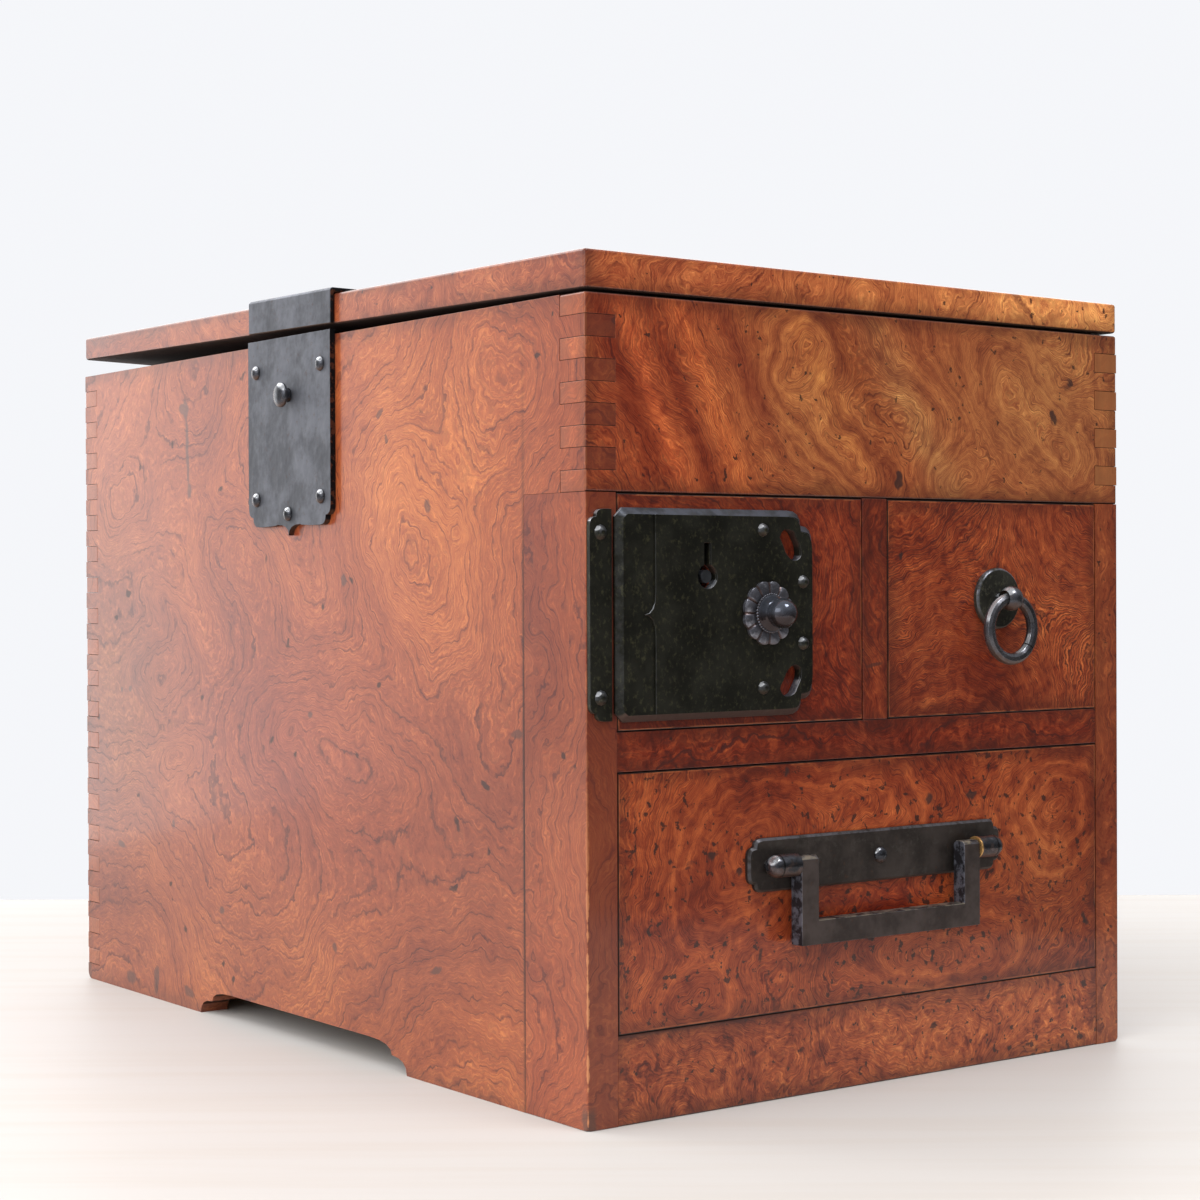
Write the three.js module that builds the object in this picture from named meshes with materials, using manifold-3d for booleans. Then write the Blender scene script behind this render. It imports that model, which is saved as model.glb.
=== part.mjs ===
// A small ship chest of burr wood with black iron fittings. A comb-jointed carcass holds a locked
// drawer and a ring-pull drawer side by side, a wide drawer with a bail handle below them, and an
// open compartment under a hinged lid. Millimetres, +Z up, drawers facing -Y.

import * as THREE from 'three';
import { mergeVertices } from 'three/addons/utils/BufferGeometryUtils.js';
import Module from 'manifold-3d';

const wasm = await Module();
wasm.setup();

// Carcass
const chestWidth = 270;
const chestDepth = 410;
const sideThickness = 13;
const backThickness = 13;
const apronHeight = 69;
const apronThickness = 15;
const bottomRailHeight = 31.6;
const lowerOpeningHeight = 91.8;
const midRailHeight = 14;
const upperOpeningHeight = 83.6;
const bodyHeight = bottomRailHeight + lowerOpeningHeight + midRailHeight + upperOpeningHeight + apronHeight;
const railThickness = 18;
const postDepth = 37.7;
const dividerThickness = 12.4;
const shelfThickness = 7;
const housingDepth = 4;
const heelRadius = 4;
const apronFingers = 9;
const backFingers = 39;

// The arch cut in the foot of each side board, with a lobed shoulder at both ends
const archLength = 173;
const archHeight = 11.2;
const archToeLength = 11;
const archToeHeight = 6.4;
const archShoulderLength = 17;

// Lid, which has warped: lifts are measured at its left edge, over its hinged edge
const lidThickness = 12;
const lidGap = 1.1;
const lidRearLift = 7;
const lidRearTopLift = 5.4;
const lidFrontTopLift = 1.8;
const lidStrips = 8;

// Drawers
const drawerFrontThickness = 15;
const drawerWall = 9;
const drawerBottomThickness = 6;
const drawerRebate = 4;
const drawerSideDrop = 3;
const drawerRearGap = 2;

// Catch on the left side
const catchWidth = 69;
const catchHeight = 78.3;
const catchRise = 1.8;
const catchThickness = 2.4;
const catchCorner = 8.6;
const catchTipLength = 3.9;
const catchTipHalfWidth = 9.5;
const catchHump = 0.7;
const catchNailInset = 7.5;
const catchTopNailDrop = 13.3;
const catchLowNailRise = 11.5;
const catchTipNailRise = 5;
const buttonDrop = 24.3;
const buttonProud = 5.4;
const buttonHeadRadius = 5.15;
const buttonHeadThickness = 2.6;
const buttonNeckRadius = 2.6;
const latchWidth = 12;
const latchThickness = 1.2;
const latchFootHeight = 14;
const latchHeadHeight = 9;
const latchOffset = 4.6;
const latchNose = 1.8;
const tongueLength = 15.5;
const tongueThickness = 1.4;
const tongueHook = 1.8;
const tongueWidth = 10;
const tongueFlange = 20;
const strapThickness = 2;
const strapReach = 26;
const strapClip = 5;

// Hinges on the right side
const hingeSpacing = 220;
const hingeWidth = 46;
const hingeDrop = 34;
const hingeThickness = 1.8;
const hingeCorner = 7;
const hingeTip = 3.4;
const hingeTipHalfWidth = 7;
const knuckleRadius = 3.8;
const hingePinRadius = 1.8;
const hingeNailInset = 8;
const hingeNailDrop = 16;

// Lock on the upper left drawer
const lockWidth = 90.9;
const lockThickness = 3.2;
const lockBevel = 2.3;
const lockOverhang = 1.9;
const lockFootMargin = 3.4;
const lockTopMargin = 5.3;
const lockHeight = upperOpeningHeight - lockFootMargin - lockTopMargin;
const lockCorner = 12;
const lockClip = 3.2;
const overlayThickness = 0.8;
const overlayInset = 15.7;
const overlayCuspLength = 4.8;
const overlayCuspHalfHeight = 7.7;
const keyholeInset = 39;
const keyholeRaise = 13.3;
const keyholeRadius = 4.4;
const keySlotWidth = 3;
const keySlotLength = 12;
const keyPinRadius = 2.4;
const lockNailInset = 26.2;
const lockNailTopDrop = 7.4;
const lockNailFootRise = 10.4;
const lockSideNailInset = 7.1;
const lockSideNailSpacing = 22.5;
const beanInset = 13.3;
const beanEnd = 12.7;
const beanSize = 5.6;
const caseWidth = 44;
const caseHeight = 44;
const caseWall = 1.2;
const caseSkin = 4;
const caseInset = 12;
const boltHeight = 10;
const boltThickness = 4;
const boltLength = 42;
const boltThrow = 4.5;
const keyChamberRadius = 10.5;
const rosetteInset = 24.4;
const rosetteRadius = 12;
const rosetteThickness = 2.2;
const rosettePetals = 12;
const petalDepth = 0.7;
const knobCollarRadius = 6.6;
const knobCollarThickness = 1.6;
const knobNeckRadius = 3;
const knobBallRadius = 5.5;
const knobStandoff = 8.4;
const keeperWidth = 9.5;
const keeperShortening = 1.3;
const keeperHeight = lockHeight - keeperShortening;
const keeperThickness = 1.8;
const keeperCorner = 6;
const keeperInset = 0.3;
const keeperNailInset = 4.6;
const keeperNailDrop = 8.2;

// Ring pull on the upper right drawer
const ringDiscRadius = 12;
const ringDiscThickness = 2.4;
const ringDiscRaise = 3.6;
const ringOuterRadius = 14.2;
const ringWireRadius = 2.35;
const ringEyeRadius = 4.9;
const ringEyeStandoff = 6.1;
const ringNeckRadius = 2.1;

// Bail handle on the lower drawer
const handleWidth = 128.6;
const handleHeight = 19.6;
const handleThickness = 2.2;
const handleBevel = 0.9;
const handleCorner = 6.6;
const handleRaise = 9.1;
const headRadius = 4.3;
const headLength = 13.3;
const headShankRadius = 2.2;
const headInset = 5.2;
const bailLegWidth = 8.3;
const bailDepth = 6.2;
const bailDrop = 29.6;
const bailTop = 3.1;
const bailBarHeight = 8.9;
const bailTopChamfer = 1.3;
const bailPinRadius = 1.8;
const bailPinLength = 7;

// Nails
const nailHeadRadius = 3.1;
const nailHeadHeight = 1.9;
const nailShankRadius = 0.9;
const nailShankLength = 9;
const shankLength = 11;

// Clearances, and how far a cutting shape runs past what it cuts
const glueLine = 0.1;
const seatGap = 0.3;
const runningGap = 0.4;
const overrun = 5;
const weldDistance = 0.0001;

// Shares of a corner's or a curve's own size
const cuspShare = 0.46;
const beanOutlineShares = [
  [-0.86, 0.5], [-0.46, 1], [0.3, 0.88], [0.62, 0.42], [0.9, -0.1], [0.92, -0.78],
  [0.34, -1.02], [-0.26, -0.62], [-0.56, -0.06],
];
const domeShares = [[1, 0], [0.94, 0.36], [0.72, 0.74], [0.38, 0.95], [0, 1]];

const curveSteps = 4;
const smallSides = 10;
const mediumSides = 20;
const largeSides = 32;

// Planes that several pieces share
const sideX = chestWidth / 2;
const innerX = sideX - sideThickness;
const frontY = -chestDepth / 2;
const backY = chestDepth / 2;
const innerBackY = backY - backThickness;
const apronBottomZ = bodyHeight - apronHeight;
const midRailZ = bottomRailHeight + lowerOpeningHeight;
const upperSillZ = midRailZ + midRailHeight;
const lidBottomZ = bodyHeight + lidGap;
const lidTopZ = lidBottomZ + lidThickness;
const halfDivider = dividerThickness / 2;

const toFront = new THREE.Vector3(0, -1, 0);
const toLeft = new THREE.Vector3(-1, 0, 0);
const toRight = new THREE.Vector3(1, 0, 0);

// Materials
const burrWood = new THREE.MeshStandardMaterial({ color: 0x8f4a26, roughness: 0.35, flatShading: true });
const palePaulownia = new THREE.MeshStandardMaterial({ color: 0xcbb08a, roughness: 0.7, flatShading: true });
const blackIron = new THREE.MeshStandardMaterial({
  color: 0x23252a, roughness: 0.5, metalness: 0.8, flatShading: true,
});
const polishedIron = new THREE.MeshStandardMaterial({
  color: 0x55565b, roughness: 0.3, metalness: 0.9, flatShading: true,
});

// A closed mesh as a solid that can be cut and joined
function solidOf(geometry) {
  geometry.deleteAttribute('normal');
  geometry.deleteAttribute('uv');
  const merged = mergeVertices(geometry, weldDistance);
  const corners = merged.index.array;
  const triangles = [];
  for (let i = 0; i < corners.length; i += 3) {
    const [a, b, c] = corners.slice(i, i + 3);
    if (a !== b && b !== c && c !== a) triangles.push(a, b, c);
  }
  return new wasm.Manifold(new wasm.Mesh({
    numProp: 3,
    vertProperties: new Float32Array(merged.attributes.position.array),
    triVerts: new Uint32Array(triangles),
  }));
}

function geometryOf(solid) {
  const { vertProperties, triVerts } = solid.getMesh();
  const geometry = new THREE.BufferGeometry();
  geometry.setAttribute('position', new THREE.BufferAttribute(new Float32Array(vertProperties), 3));
  geometry.setIndex(new THREE.BufferAttribute(new Uint32Array(triVerts), 1));
  geometry.computeVertexNormals();
  return geometry;
}

const chest = new THREE.Group();

function add(name, solid, material, shapeEdit) {
  const geometry = geometryOf(solid);
  if (shapeEdit) shapeEdit(geometry);
  const mesh = new THREE.Mesh(geometry, material);
  mesh.name = name;
  chest.add(mesh);
}

function cut(solid, ...tools) {
  return tools.reduce((rest, tool) => rest.subtract(tool), solid);
}

function join(solid, ...others) {
  return others.reduce((whole, other) => whole.add(other), solid);
}

// A board between two faces along each axis
function block([x0, x1], [y0, y1], [z0, z1]) {
  const geometry = new THREE.BoxGeometry(x1 - x0, y1 - y0, z1 - z0);
  geometry.translate((x0 + x1) / 2, (y0 + y1) / 2, (z0 + z1) / 2);
  return solidOf(geometry);
}

// The same stretch on the right side (side = 1) or mirrored on the left (side = -1)
function onSide(side, near, far) {
  return side > 0 ? [near, far] : [-far, -near];
}

// An outline drawn in X and Z, thickened towards the front from the plane y
function frontSlab(shape, y, thickness) {
  const geometry = new THREE.ExtrudeGeometry(shape, {
    depth: thickness, bevelEnabled: false, curveSegments: curveSteps,
  });
  geometry.rotateX(Math.PI / 2);
  geometry.translate(0, y, 0);
  return solidOf(geometry);
}

// The same with a bevel round its front face
function bevelledSlab(shape, y, thickness, bevel) {
  const geometry = new THREE.ExtrudeGeometry(shape, {
    depth: thickness - bevel, bevelEnabled: true, bevelThickness: bevel, bevelSize: bevel,
    bevelOffset: -bevel, bevelSegments: 1, curveSegments: curveSteps,
  });
  geometry.rotateX(Math.PI / 2);
  geometry.translate(0, y, 0);
  const behind = block([-chestWidth, chestWidth], [y, y + bevel + overrun], [-bodyHeight, 2 * bodyHeight]);
  return cut(solidOf(geometry), behind);
}

// An outline drawn in Y and Z, thickened outwards on either side from the plane x
function sideSlab(side, shape, x, thickness) {
  const geometry = new THREE.ExtrudeGeometry(shape, {
    depth: thickness, bevelEnabled: false, curveSegments: curveSteps,
  });
  geometry.rotateX(Math.PI / 2);
  geometry.rotateZ(side * Math.PI / 2);
  geometry.translate(side * x, 0, 0);
  return solidOf(geometry);
}

// A profile in X and Z, run along Y about the plane y
function alongDepth(shape, y, length) {
  return frontSlab(shape, y + length / 2, length);
}

// A turned piece standing on a point; its profile lists radius and height from axis to axis
function turned(profile, point, direction, sides) {
  const points = profile.map(([radius, height]) => new THREE.Vector2(radius, height));
  const geometry = new THREE.LatheGeometry(points, sides);
  const turn = new THREE.Quaternion().setFromUnitVectors(new THREE.Vector3(0, 1, 0), direction);
  geometry.applyQuaternion(turn);
  geometry.translate(...point);
  return solidOf(geometry);
}

function rod(radius, length, point, direction, sides) {
  return turned([[0, 0], [radius, 0], [radius, length], [0, length]], point, direction, sides);
}

function dome(radius, height, point, direction, sides) {
  const crown = domeShares.map(([r, h]) => [radius * r, height * h]);
  return turned([[0, 0], ...crown], point, direction, sides);
}

// A nail: a domed head on the plate and a shank through it
function nail(point, direction) {
  const head = dome(nailHeadRadius, nailHeadHeight, point, direction, smallSides);
  const shank = rod(nailShankRadius, nailShankLength + glueLine, point, direction.clone().negate(), smallSides);
  return join(head, shank);
}

// The hole for a shank, through everything on both sides of a point
function shankHole(radius, point, direction, depth) {
  const start = new THREE.Vector3(...point).addScaledVector(direction, overrun);
  return rod(radius, depth + overrun, start.toArray(), direction.clone().negate(), mediumSides);
}

// A corner of two lobes that meet in a cusp, from one edge of a plate to the next
function lobedCorner(shape, from, corner, to) {
  const cusp = [0, 1].map((i) => corner[i] + cuspShare * (from[i] + to[i] - 2 * corner[i]));
  const firstControl = [0, 1].map((i) => cusp[i] + cuspShare * (corner[i] - to[i]));
  const secondControl = [0, 1].map((i) => cusp[i] + cuspShare * (corner[i] - from[i]));
  shape.lineTo(...from);
  shape.quadraticCurveTo(...firstControl, ...cusp);
  shape.quadraticCurveTo(...secondControl, ...to);
}

// Carcass boards

function combCuts(count, height, top, isCut, xs, ys) {
  const finger = height / count;
  const cuts = [];
  for (let i = 0; i < count; i += 1) {
    const upper = top - i * finger + glueLine / 2;
    const lower = top - (i + 1) * finger - glueLine / 2;
    if (isCut(i)) cuts.push(block(xs, ys, [i === count - 1 ? lower - glueLine : lower, upper]));
  }
  return cuts;
}

const isEven = (i) => i % 2 === 0;
const isOdd = (i) => i % 2 === 1;

function archShape() {
  const end = archLength / 2;
  const cusp = end - archToeLength;
  const shoulder = cusp - archShoulderLength;
  const shape = new THREE.Shape();
  shape.moveTo(-end, -overrun);
  shape.lineTo(-end, 0);
  shape.quadraticCurveTo(-end, archToeHeight, -cusp, archToeHeight);
  shape.quadraticCurveTo(-cusp, archHeight, -shoulder, archHeight);
  shape.lineTo(shoulder, archHeight);
  shape.quadraticCurveTo(cusp, archHeight, cusp, archToeHeight);
  shape.quadraticCurveTo(end, archToeHeight, end, 0);
  shape.lineTo(end, -overrun);
  return shape;
}

function heelShape() {
  const shape = new THREE.Shape();
  shape.moveTo(backY - heelRadius, 0);
  shape.lineTo(backY - heelRadius, -overrun);
  shape.lineTo(backY + overrun, -overrun);
  shape.lineTo(backY + overrun, heelRadius);
  shape.lineTo(backY, heelRadius);
  shape.absarc(backY - heelRadius, heelRadius, heelRadius, 0, -Math.PI / 2, true);
  return shape;
}

const shelfLevels = [apronBottomZ, upperSillZ - shelfThickness, bottomRailHeight - shelfThickness];

function sideBoard(side) {
  const through = onSide(side, innerX - overrun, sideX + overrun);
  const board = block(onSide(side, innerX, sideX), [frontY, backY], [0, bodyHeight]);
  const postNotch = block(through, [frontY - overrun, frontY + postDepth], [-overrun, apronBottomZ]);
  const frontComb = combCuts(apronFingers, apronHeight, bodyHeight, isEven, through,
    [frontY - overrun, frontY + apronThickness + glueLine]);
  const rearComb = combCuts(backFingers, bodyHeight, bodyHeight, isOdd, through,
    [innerBackY - glueLine, backY + overrun]);
  const housings = shelfLevels.map((level) => block(
    onSide(side, innerX - overrun, innerX + housingDepth),
    [frontY + apronThickness, innerBackY],
    [level - glueLine, level + shelfThickness + glueLine],
  ));
  const arch = sideSlab(side, archShape(), innerX - overrun, sideThickness + 2 * overrun);
  const heel = heelShape();
  const heelCut = side > 0
    ? sideSlab(side, heel, innerX - overrun, sideThickness + 2 * overrun)
    : sideSlab(1, heel, -sideX - overrun, sideThickness + 2 * overrun);
  return cut(board, postNotch, ...frontComb, ...rearComb, ...housings, arch, heelCut);
}

function shelf(level, frontEdge) {
  const reach = innerX + housingDepth - glueLine;
  const board = block([-reach, reach], [frontEdge + glueLine, innerBackY - glueLine],
    [level, level + shelfThickness]);
  const notches = [-1, 1].map((side) => block(
    onSide(side, innerX - glueLine, sideX),
    [frontY, frontY + postDepth + glueLine],
    [level - overrun, level + shelfThickness + overrun],
  ));
  return level < apronBottomZ ? cut(board, ...notches) : board;
}

const apronBoard = cut(
  block([-sideX, sideX], [frontY, frontY + apronThickness], [apronBottomZ, bodyHeight]),
  ...[-1, 1].flatMap((side) => combCuts(apronFingers, apronHeight, bodyHeight, isOdd,
    onSide(side, innerX - glueLine, sideX + overrun),
    [frontY - overrun, frontY + apronThickness + overrun])),
);

const backBoard = cut(
  block([-sideX, sideX], [innerBackY, backY], [0, bodyHeight]),
  ...[-1, 1].flatMap((side) => combCuts(backFingers, bodyHeight, bodyHeight, isEven,
    onSide(side, innerX - glueLine, sideX + overrun),
    [innerBackY - overrun, backY + overrun])),
);

function frontPost(side) {
  return block(onSide(side, innerX, sideX), [frontY, frontY + postDepth - glueLine],
    [0, apronBottomZ - glueLine]);
}

function rail(bottom, top) {
  return block([glueLine - innerX, innerX - glueLine], [frontY, frontY + railThickness], [bottom, top]);
}

// Drawers: a burr front rebated over four thin boards

const leftDrawerX = [runningGap - innerX, -halfDivider - runningGap];
const rightDrawerX = [halfDivider + runningGap, innerX - runningGap];
const lowerDrawerX = [runningGap - innerX, innerX - runningGap];
const upperDrawerZ = [upperSillZ + seatGap, apronBottomZ - runningGap];
const lowerDrawerZ = [bottomRailHeight + seatGap, midRailZ - runningGap];
const drawerBackY = innerBackY - drawerRearGap;

function addDrawer(name, [x0, x1], [z0, z1], frontCuts) {
  const innerFaceY = frontY + drawerFrontThickness;
  const rebateY = innerFaceY - drawerRebate;
  const left = [x0 + runningGap, x0 + runningGap + drawerWall];
  const right = [x1 - runningGap - drawerWall, x1 - runningGap];
  const wallZ = [z0 + drawerBottomThickness + glueLine, z1 - drawerSideDrop];
  const runY = [rebateY + glueLine, drawerBackY];
  const front = cut(
    block([x0, x1], [frontY, innerFaceY], [z0, z1]),
    block([x0 - overrun, left[1] + glueLine], [rebateY, innerFaceY + overrun], [z0 - overrun, z1 + overrun]),
    block([right[0] - glueLine, x1 + overrun], [rebateY, innerFaceY + overrun], [z0 - overrun, z1 + overrun]),
    block([x0 - overrun, x1 + overrun], [rebateY, innerFaceY + overrun], [z0 - overrun, wallZ[0]]),
    ...frontCuts,
  );
  add(`${name}_front`, front, burrWood);
  add(`${name}_left_wall`, block(left, runY, wallZ), palePaulownia);
  add(`${name}_right_wall`, block(right, runY, wallZ), palePaulownia);
  add(`${name}_back`, block([left[1] + glueLine, right[0] - glueLine],
    [drawerBackY - drawerWall, drawerBackY], wallZ), palePaulownia);
  add(`${name}_bottom`, block([left[0], right[1]], runY, [z0, z0 + drawerBottomThickness]), palePaulownia);
}

// Lock: plate, overlay and keeper

const lockLeftX = leftDrawerX[0] - lockOverhang;
const lockRightX = lockLeftX + lockWidth;
const lockBottomZ = upperSillZ + lockFootMargin;
const lockTopZ = lockBottomZ + lockHeight;
const lockMidZ = (lockBottomZ + lockTopZ) / 2;
const plateBackY = frontY - glueLine;
const lockPlateY = plateBackY - lockThickness;
const lockFaceY = lockPlateY - glueLine - overlayThickness;
const keyX = lockLeftX + keyholeInset;
const keyZ = lockMidZ + keyholeRaise;
const rosetteX = lockRightX - rosetteInset;

function lockOutline() {
  const shape = new THREE.Shape();
  shape.moveTo(lockLeftX, lockBottomZ + lockClip);
  shape.lineTo(lockLeftX + lockClip, lockBottomZ);
  lobedCorner(shape, [lockRightX - lockCorner, lockBottomZ], [lockRightX, lockBottomZ],
    [lockRightX, lockBottomZ + lockCorner]);
  lobedCorner(shape, [lockRightX, lockTopZ - lockCorner], [lockRightX, lockTopZ],
    [lockRightX - lockCorner, lockTopZ]);
  shape.lineTo(lockLeftX + lockClip, lockTopZ);
  shape.lineTo(lockLeftX, lockTopZ - lockClip);
  return shape;
}

function overlayOutline() {
  const border = lockBevel + glueLine;
  const left = lockLeftX + overlayInset;
  const right = lockRightX - border;
  const bottom = lockBottomZ + border;
  const top = lockTopZ - border;
  const shape = new THREE.Shape();
  shape.moveTo(left, bottom);
  lobedCorner(shape, [right - lockCorner, bottom], [right, bottom], [right, bottom + lockCorner]);
  lobedCorner(shape, [right, top - lockCorner], [right, top], [right - lockCorner, top]);
  shape.lineTo(left, top);
  shape.lineTo(left, lockMidZ + overlayCuspHalfHeight);
  shape.quadraticCurveTo(left, lockMidZ, left - overlayCuspLength, lockMidZ);
  shape.quadraticCurveTo(left, lockMidZ, left, lockMidZ - overlayCuspHalfHeight);
  return shape;
}

// The keyhole: a round hole for the barrel of the key with a slot above it for the bit
function keyholeCutter(y0, y1) {
  const round = rod(keyholeRadius, y1 - y0, [keyX, y1, keyZ], toFront, mediumSides);
  const slot = block([keyX - keySlotWidth / 2, keyX + keySlotWidth / 2], [y0, y1],
    [keyZ, keyZ + keySlotLength]);
  return join(round, slot);
}

function beanCutter(direction) {
  const points = beanOutlineShares.map(([x, z]) => new THREE.Vector2(
    lockRightX - beanInset + beanSize * x,
    lockMidZ + direction * (lockHeight / 2 - beanEnd + beanSize * z),
  ));
  const ordered = direction > 0 ? points : points.reverse();
  const shape = new THREE.Shape();
  shape.moveTo(ordered[0].x, ordered[0].y);
  shape.splineThru([...ordered.slice(1), ordered[0]]);
  return frontSlab(shape, plateBackY + overrun, lockThickness + overlayThickness + 3 * overrun);
}

const lockPiercings = [
  keyholeCutter(lockFaceY - overrun, plateBackY + overrun),
  beanCutter(1),
  beanCutter(-1),
  shankHole(knobNeckRadius + seatGap, [rosetteX, lockFaceY, lockMidZ], toFront, shankLength),
];

const lockNailPlaces = [
  [lockRightX - lockNailInset, lockTopZ - lockNailTopDrop],
  [lockRightX - lockNailInset, lockBottomZ + lockNailFootRise],
  [lockRightX - lockSideNailInset, lockMidZ + lockSideNailSpacing / 2],
  [lockRightX - lockSideNailInset, lockMidZ - lockSideNailSpacing / 2],
];

function lockOverlay() {
  const plate = cut(frontSlab(overlayOutline(), lockPlateY - glueLine, overlayThickness), ...lockPiercings);
  const seatY = lockFaceY + overlayThickness / 2;
  const heads = lockNailPlaces.map(([x, z]) => dome(nailHeadRadius * 0.8,
    nailHeadHeight + overlayThickness / 2, [x, seatY, z], toFront, smallSides));
  return join(plate, ...heads);
}

// Lock case: let into the back of the drawer front, with the bolt's tunnel, a chamber for the key's
// bit above it, and the pin that the key turns on
const casePocketX = [leftDrawerX[0] + caseInset, leftDrawerX[0] + caseInset + caseWidth];
const casePocketZ = [lockMidZ - caseHeight / 2, lockMidZ + caseHeight / 2];
const caseFrontY = frontY + caseSkin;
const boltY = [caseFrontY + caseWall + seatGap, caseFrontY + caseWall + seatGap + boltThickness];
const boltZ = [lockMidZ - boltHeight / 2, lockMidZ + boltHeight / 2];
const boltTipX = leftDrawerX[0] + seatGap;

function boltTunnel(x0, x1) {
  return block([x0, x1], [boltY[0] - seatGap, boltY[1] + seatGap], [boltZ[0] - seatGap, boltZ[1] + seatGap]);
}

function lockCase() {
  const chamberDepth = boltY[1] - boltY[0] + 2 * seatGap;
  const backY = frontY + drawerFrontThickness;
  const shell = block([casePocketX[0] + glueLine, casePocketX[1] - glueLine],
    [caseFrontY + glueLine, backY], [casePocketZ[0] + glueLine, casePocketZ[1] - glueLine]);
  const hollow = cut(shell,
    boltTunnel(casePocketX[0] - overrun, boltTipX + boltLength + seatGap),
    rod(keyChamberRadius, chamberDepth, [keyX, boltY[1] + seatGap, keyZ], toFront, mediumSides),
    keyholeCutter(caseFrontY - overrun, boltY[0]));
  const pinRoot = boltY[1] + seatGap + caseWall;
  const pin = rod(keyPinRadius, pinRoot - lockPlateY, [keyX, pinRoot, keyZ], toFront, mediumSides);
  return join(hollow, pin);
}

const leftFrontCuts = [
  block(casePocketX, [caseFrontY, frontY + drawerFrontThickness + overrun], casePocketZ),
  boltTunnel(leftDrawerX[0] - overrun, casePocketX[0] + overrun),
  keyholeCutter(frontY - overrun, caseFrontY + overrun),
  shankHole(knobNeckRadius + glueLine, [rosetteX, lockFaceY, lockMidZ], toFront,
    shankLength + lockThickness + overlayThickness),
];

const postMortise = boltTunnel(boltTipX - boltThrow - runningGap - seatGap, overrun - innerX);

function keeperOutline() {
  const left = keeperInset - sideX;
  const right = left + keeperWidth;
  const bottom = lockMidZ - keeperHeight / 2;
  const top = lockMidZ + keeperHeight / 2;
  const shape = new THREE.Shape();
  shape.moveTo(right, bottom);
  shape.lineTo(right, top);
  lobedCorner(shape, [left + keeperCorner, top], [left, top], [left, top - keeperCorner]);
  lobedCorner(shape, [left, bottom + keeperCorner], [left, bottom], [left + keeperCorner, bottom]);
  return shape;
}

function keeperPlate() {
  const seatY = plateBackY - keeperThickness / 2;
  const nailZs = [1, -1].map((end) => lockMidZ + end * (keeperHeight / 2 - keeperNailDrop));
  const heads = nailZs.map((z) => dome(nailHeadRadius * 0.9, nailHeadHeight + keeperThickness / 2,
    [keeperInset + keeperNailInset - sideX, seatY, z], toFront, smallSides));
  return join(frontSlab(keeperOutline(), plateBackY, keeperThickness), ...heads);
}

// Rosette of petals and the knob that holds it

function rosette() {
  const shape = new THREE.Shape();
  const steps = rosettePetals * curveSteps;
  for (let i = 0; i < steps; i += 1) {
    const angle = (2 * Math.PI * i) / steps;
    const lobe = Math.abs(Math.sin((rosettePetals * angle) / 2));
    const radius = rosetteRadius - petalDepth * (1 - lobe);
    const point = [rosetteX + radius * Math.cos(angle), lockMidZ + radius * Math.sin(angle)];
    if (i === 0) shape.moveTo(...point);
    else shape.lineTo(...point);
  }
  const petals = frontSlab(shape, lockFaceY - glueLine, rosetteThickness);
  return cut(petals, shankHole(knobNeckRadius + glueLine, [rosetteX, lockFaceY, lockMidZ], toFront, overrun));
}

function knob() {
  const base = lockFaceY - 2 * glueLine - rosetteThickness;
  const ballHeight = base - lockFaceY + knobStandoff;
  const profile = [[0, -shankLength], [knobNeckRadius, -shankLength], [knobNeckRadius, 0]];
  profile.push([knobCollarRadius, 0], [knobCollarRadius, knobCollarThickness]);
  profile.push([knobNeckRadius, knobCollarThickness]);
  const startAngle = -Math.acos(knobNeckRadius / knobBallRadius);
  for (let i = 0; i <= smallSides; i += 1) {
    const angle = startAngle + ((Math.PI / 2 - startAngle) * i) / smallSides;
    const radius = i === smallSides ? 0 : knobBallRadius * Math.cos(angle);
    profile.push([radius, ballHeight + knobBallRadius * Math.sin(angle)]);
  }
  return turned(profile, [rosetteX, base, lockMidZ], toFront, mediumSides);
}

// Ring pull: disc, pierced eye and ring

const ringX = (rightDrawerX[0] + rightDrawerX[1]) / 2;
const ringDiscZ = (upperDrawerZ[0] + upperDrawerZ[1]) / 2 + ringDiscRaise;
const ringDiscY = plateBackY - ringDiscThickness;
const ringBendRadius = ringOuterRadius - ringWireRadius;
const ringEyeY = ringDiscY - ringEyeStandoff;

function ringDisc() {
  const edge = ringDiscThickness / 3;
  const hole = ringNeckRadius + glueLine;
  const profile = [[hole, 0], [ringDiscRadius, 0], [ringDiscRadius, ringDiscThickness - edge],
    [ringDiscRadius - edge, ringDiscThickness], [hole, ringDiscThickness], [hole, 0]];
  return turned(profile, [ringX, plateBackY, ringDiscZ], toFront, largeSides);
}

function ringEye() {
  const sag = ringBendRadius - Math.sqrt(ringBendRadius ** 2 - ringEyeRadius ** 2);
  const bore = ringWireRadius + sag / 2 + seatGap;
  const bead = [];
  for (let i = 0; i <= smallSides; i += 1) {
    const angle = Math.PI * (i / smallSides - 1 / 2);
    const radius = i === 0 || i === smallSides ? 0 : ringEyeRadius * Math.cos(angle);
    bead.push([radius, ringEyeRadius * Math.sin(angle)]);
  }
  const ball = turned(bead, [ringX, ringEyeY, ringDiscZ], toFront, mediumSides);
  const shankRoot = frontY + shankLength;
  const shank = rod(ringNeckRadius, shankRoot - ringEyeY - bore, [ringX, shankRoot, ringDiscZ], toFront, mediumSides);
  const hole = rod(bore, 2 * (ringEyeRadius + overrun), [ringX + ringEyeRadius + overrun, ringEyeY, ringDiscZ],
    toLeft, mediumSides);
  return cut(join(ball, shank), hole);
}

function pullRing() {
  const geometry = new THREE.TorusGeometry(ringBendRadius, ringWireRadius, smallSides, largeSides);
  geometry.rotateX(Math.PI / 2);
  geometry.translate(ringX, ringEyeY, ringDiscZ - ringBendRadius);
  return solidOf(geometry);
}

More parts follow.
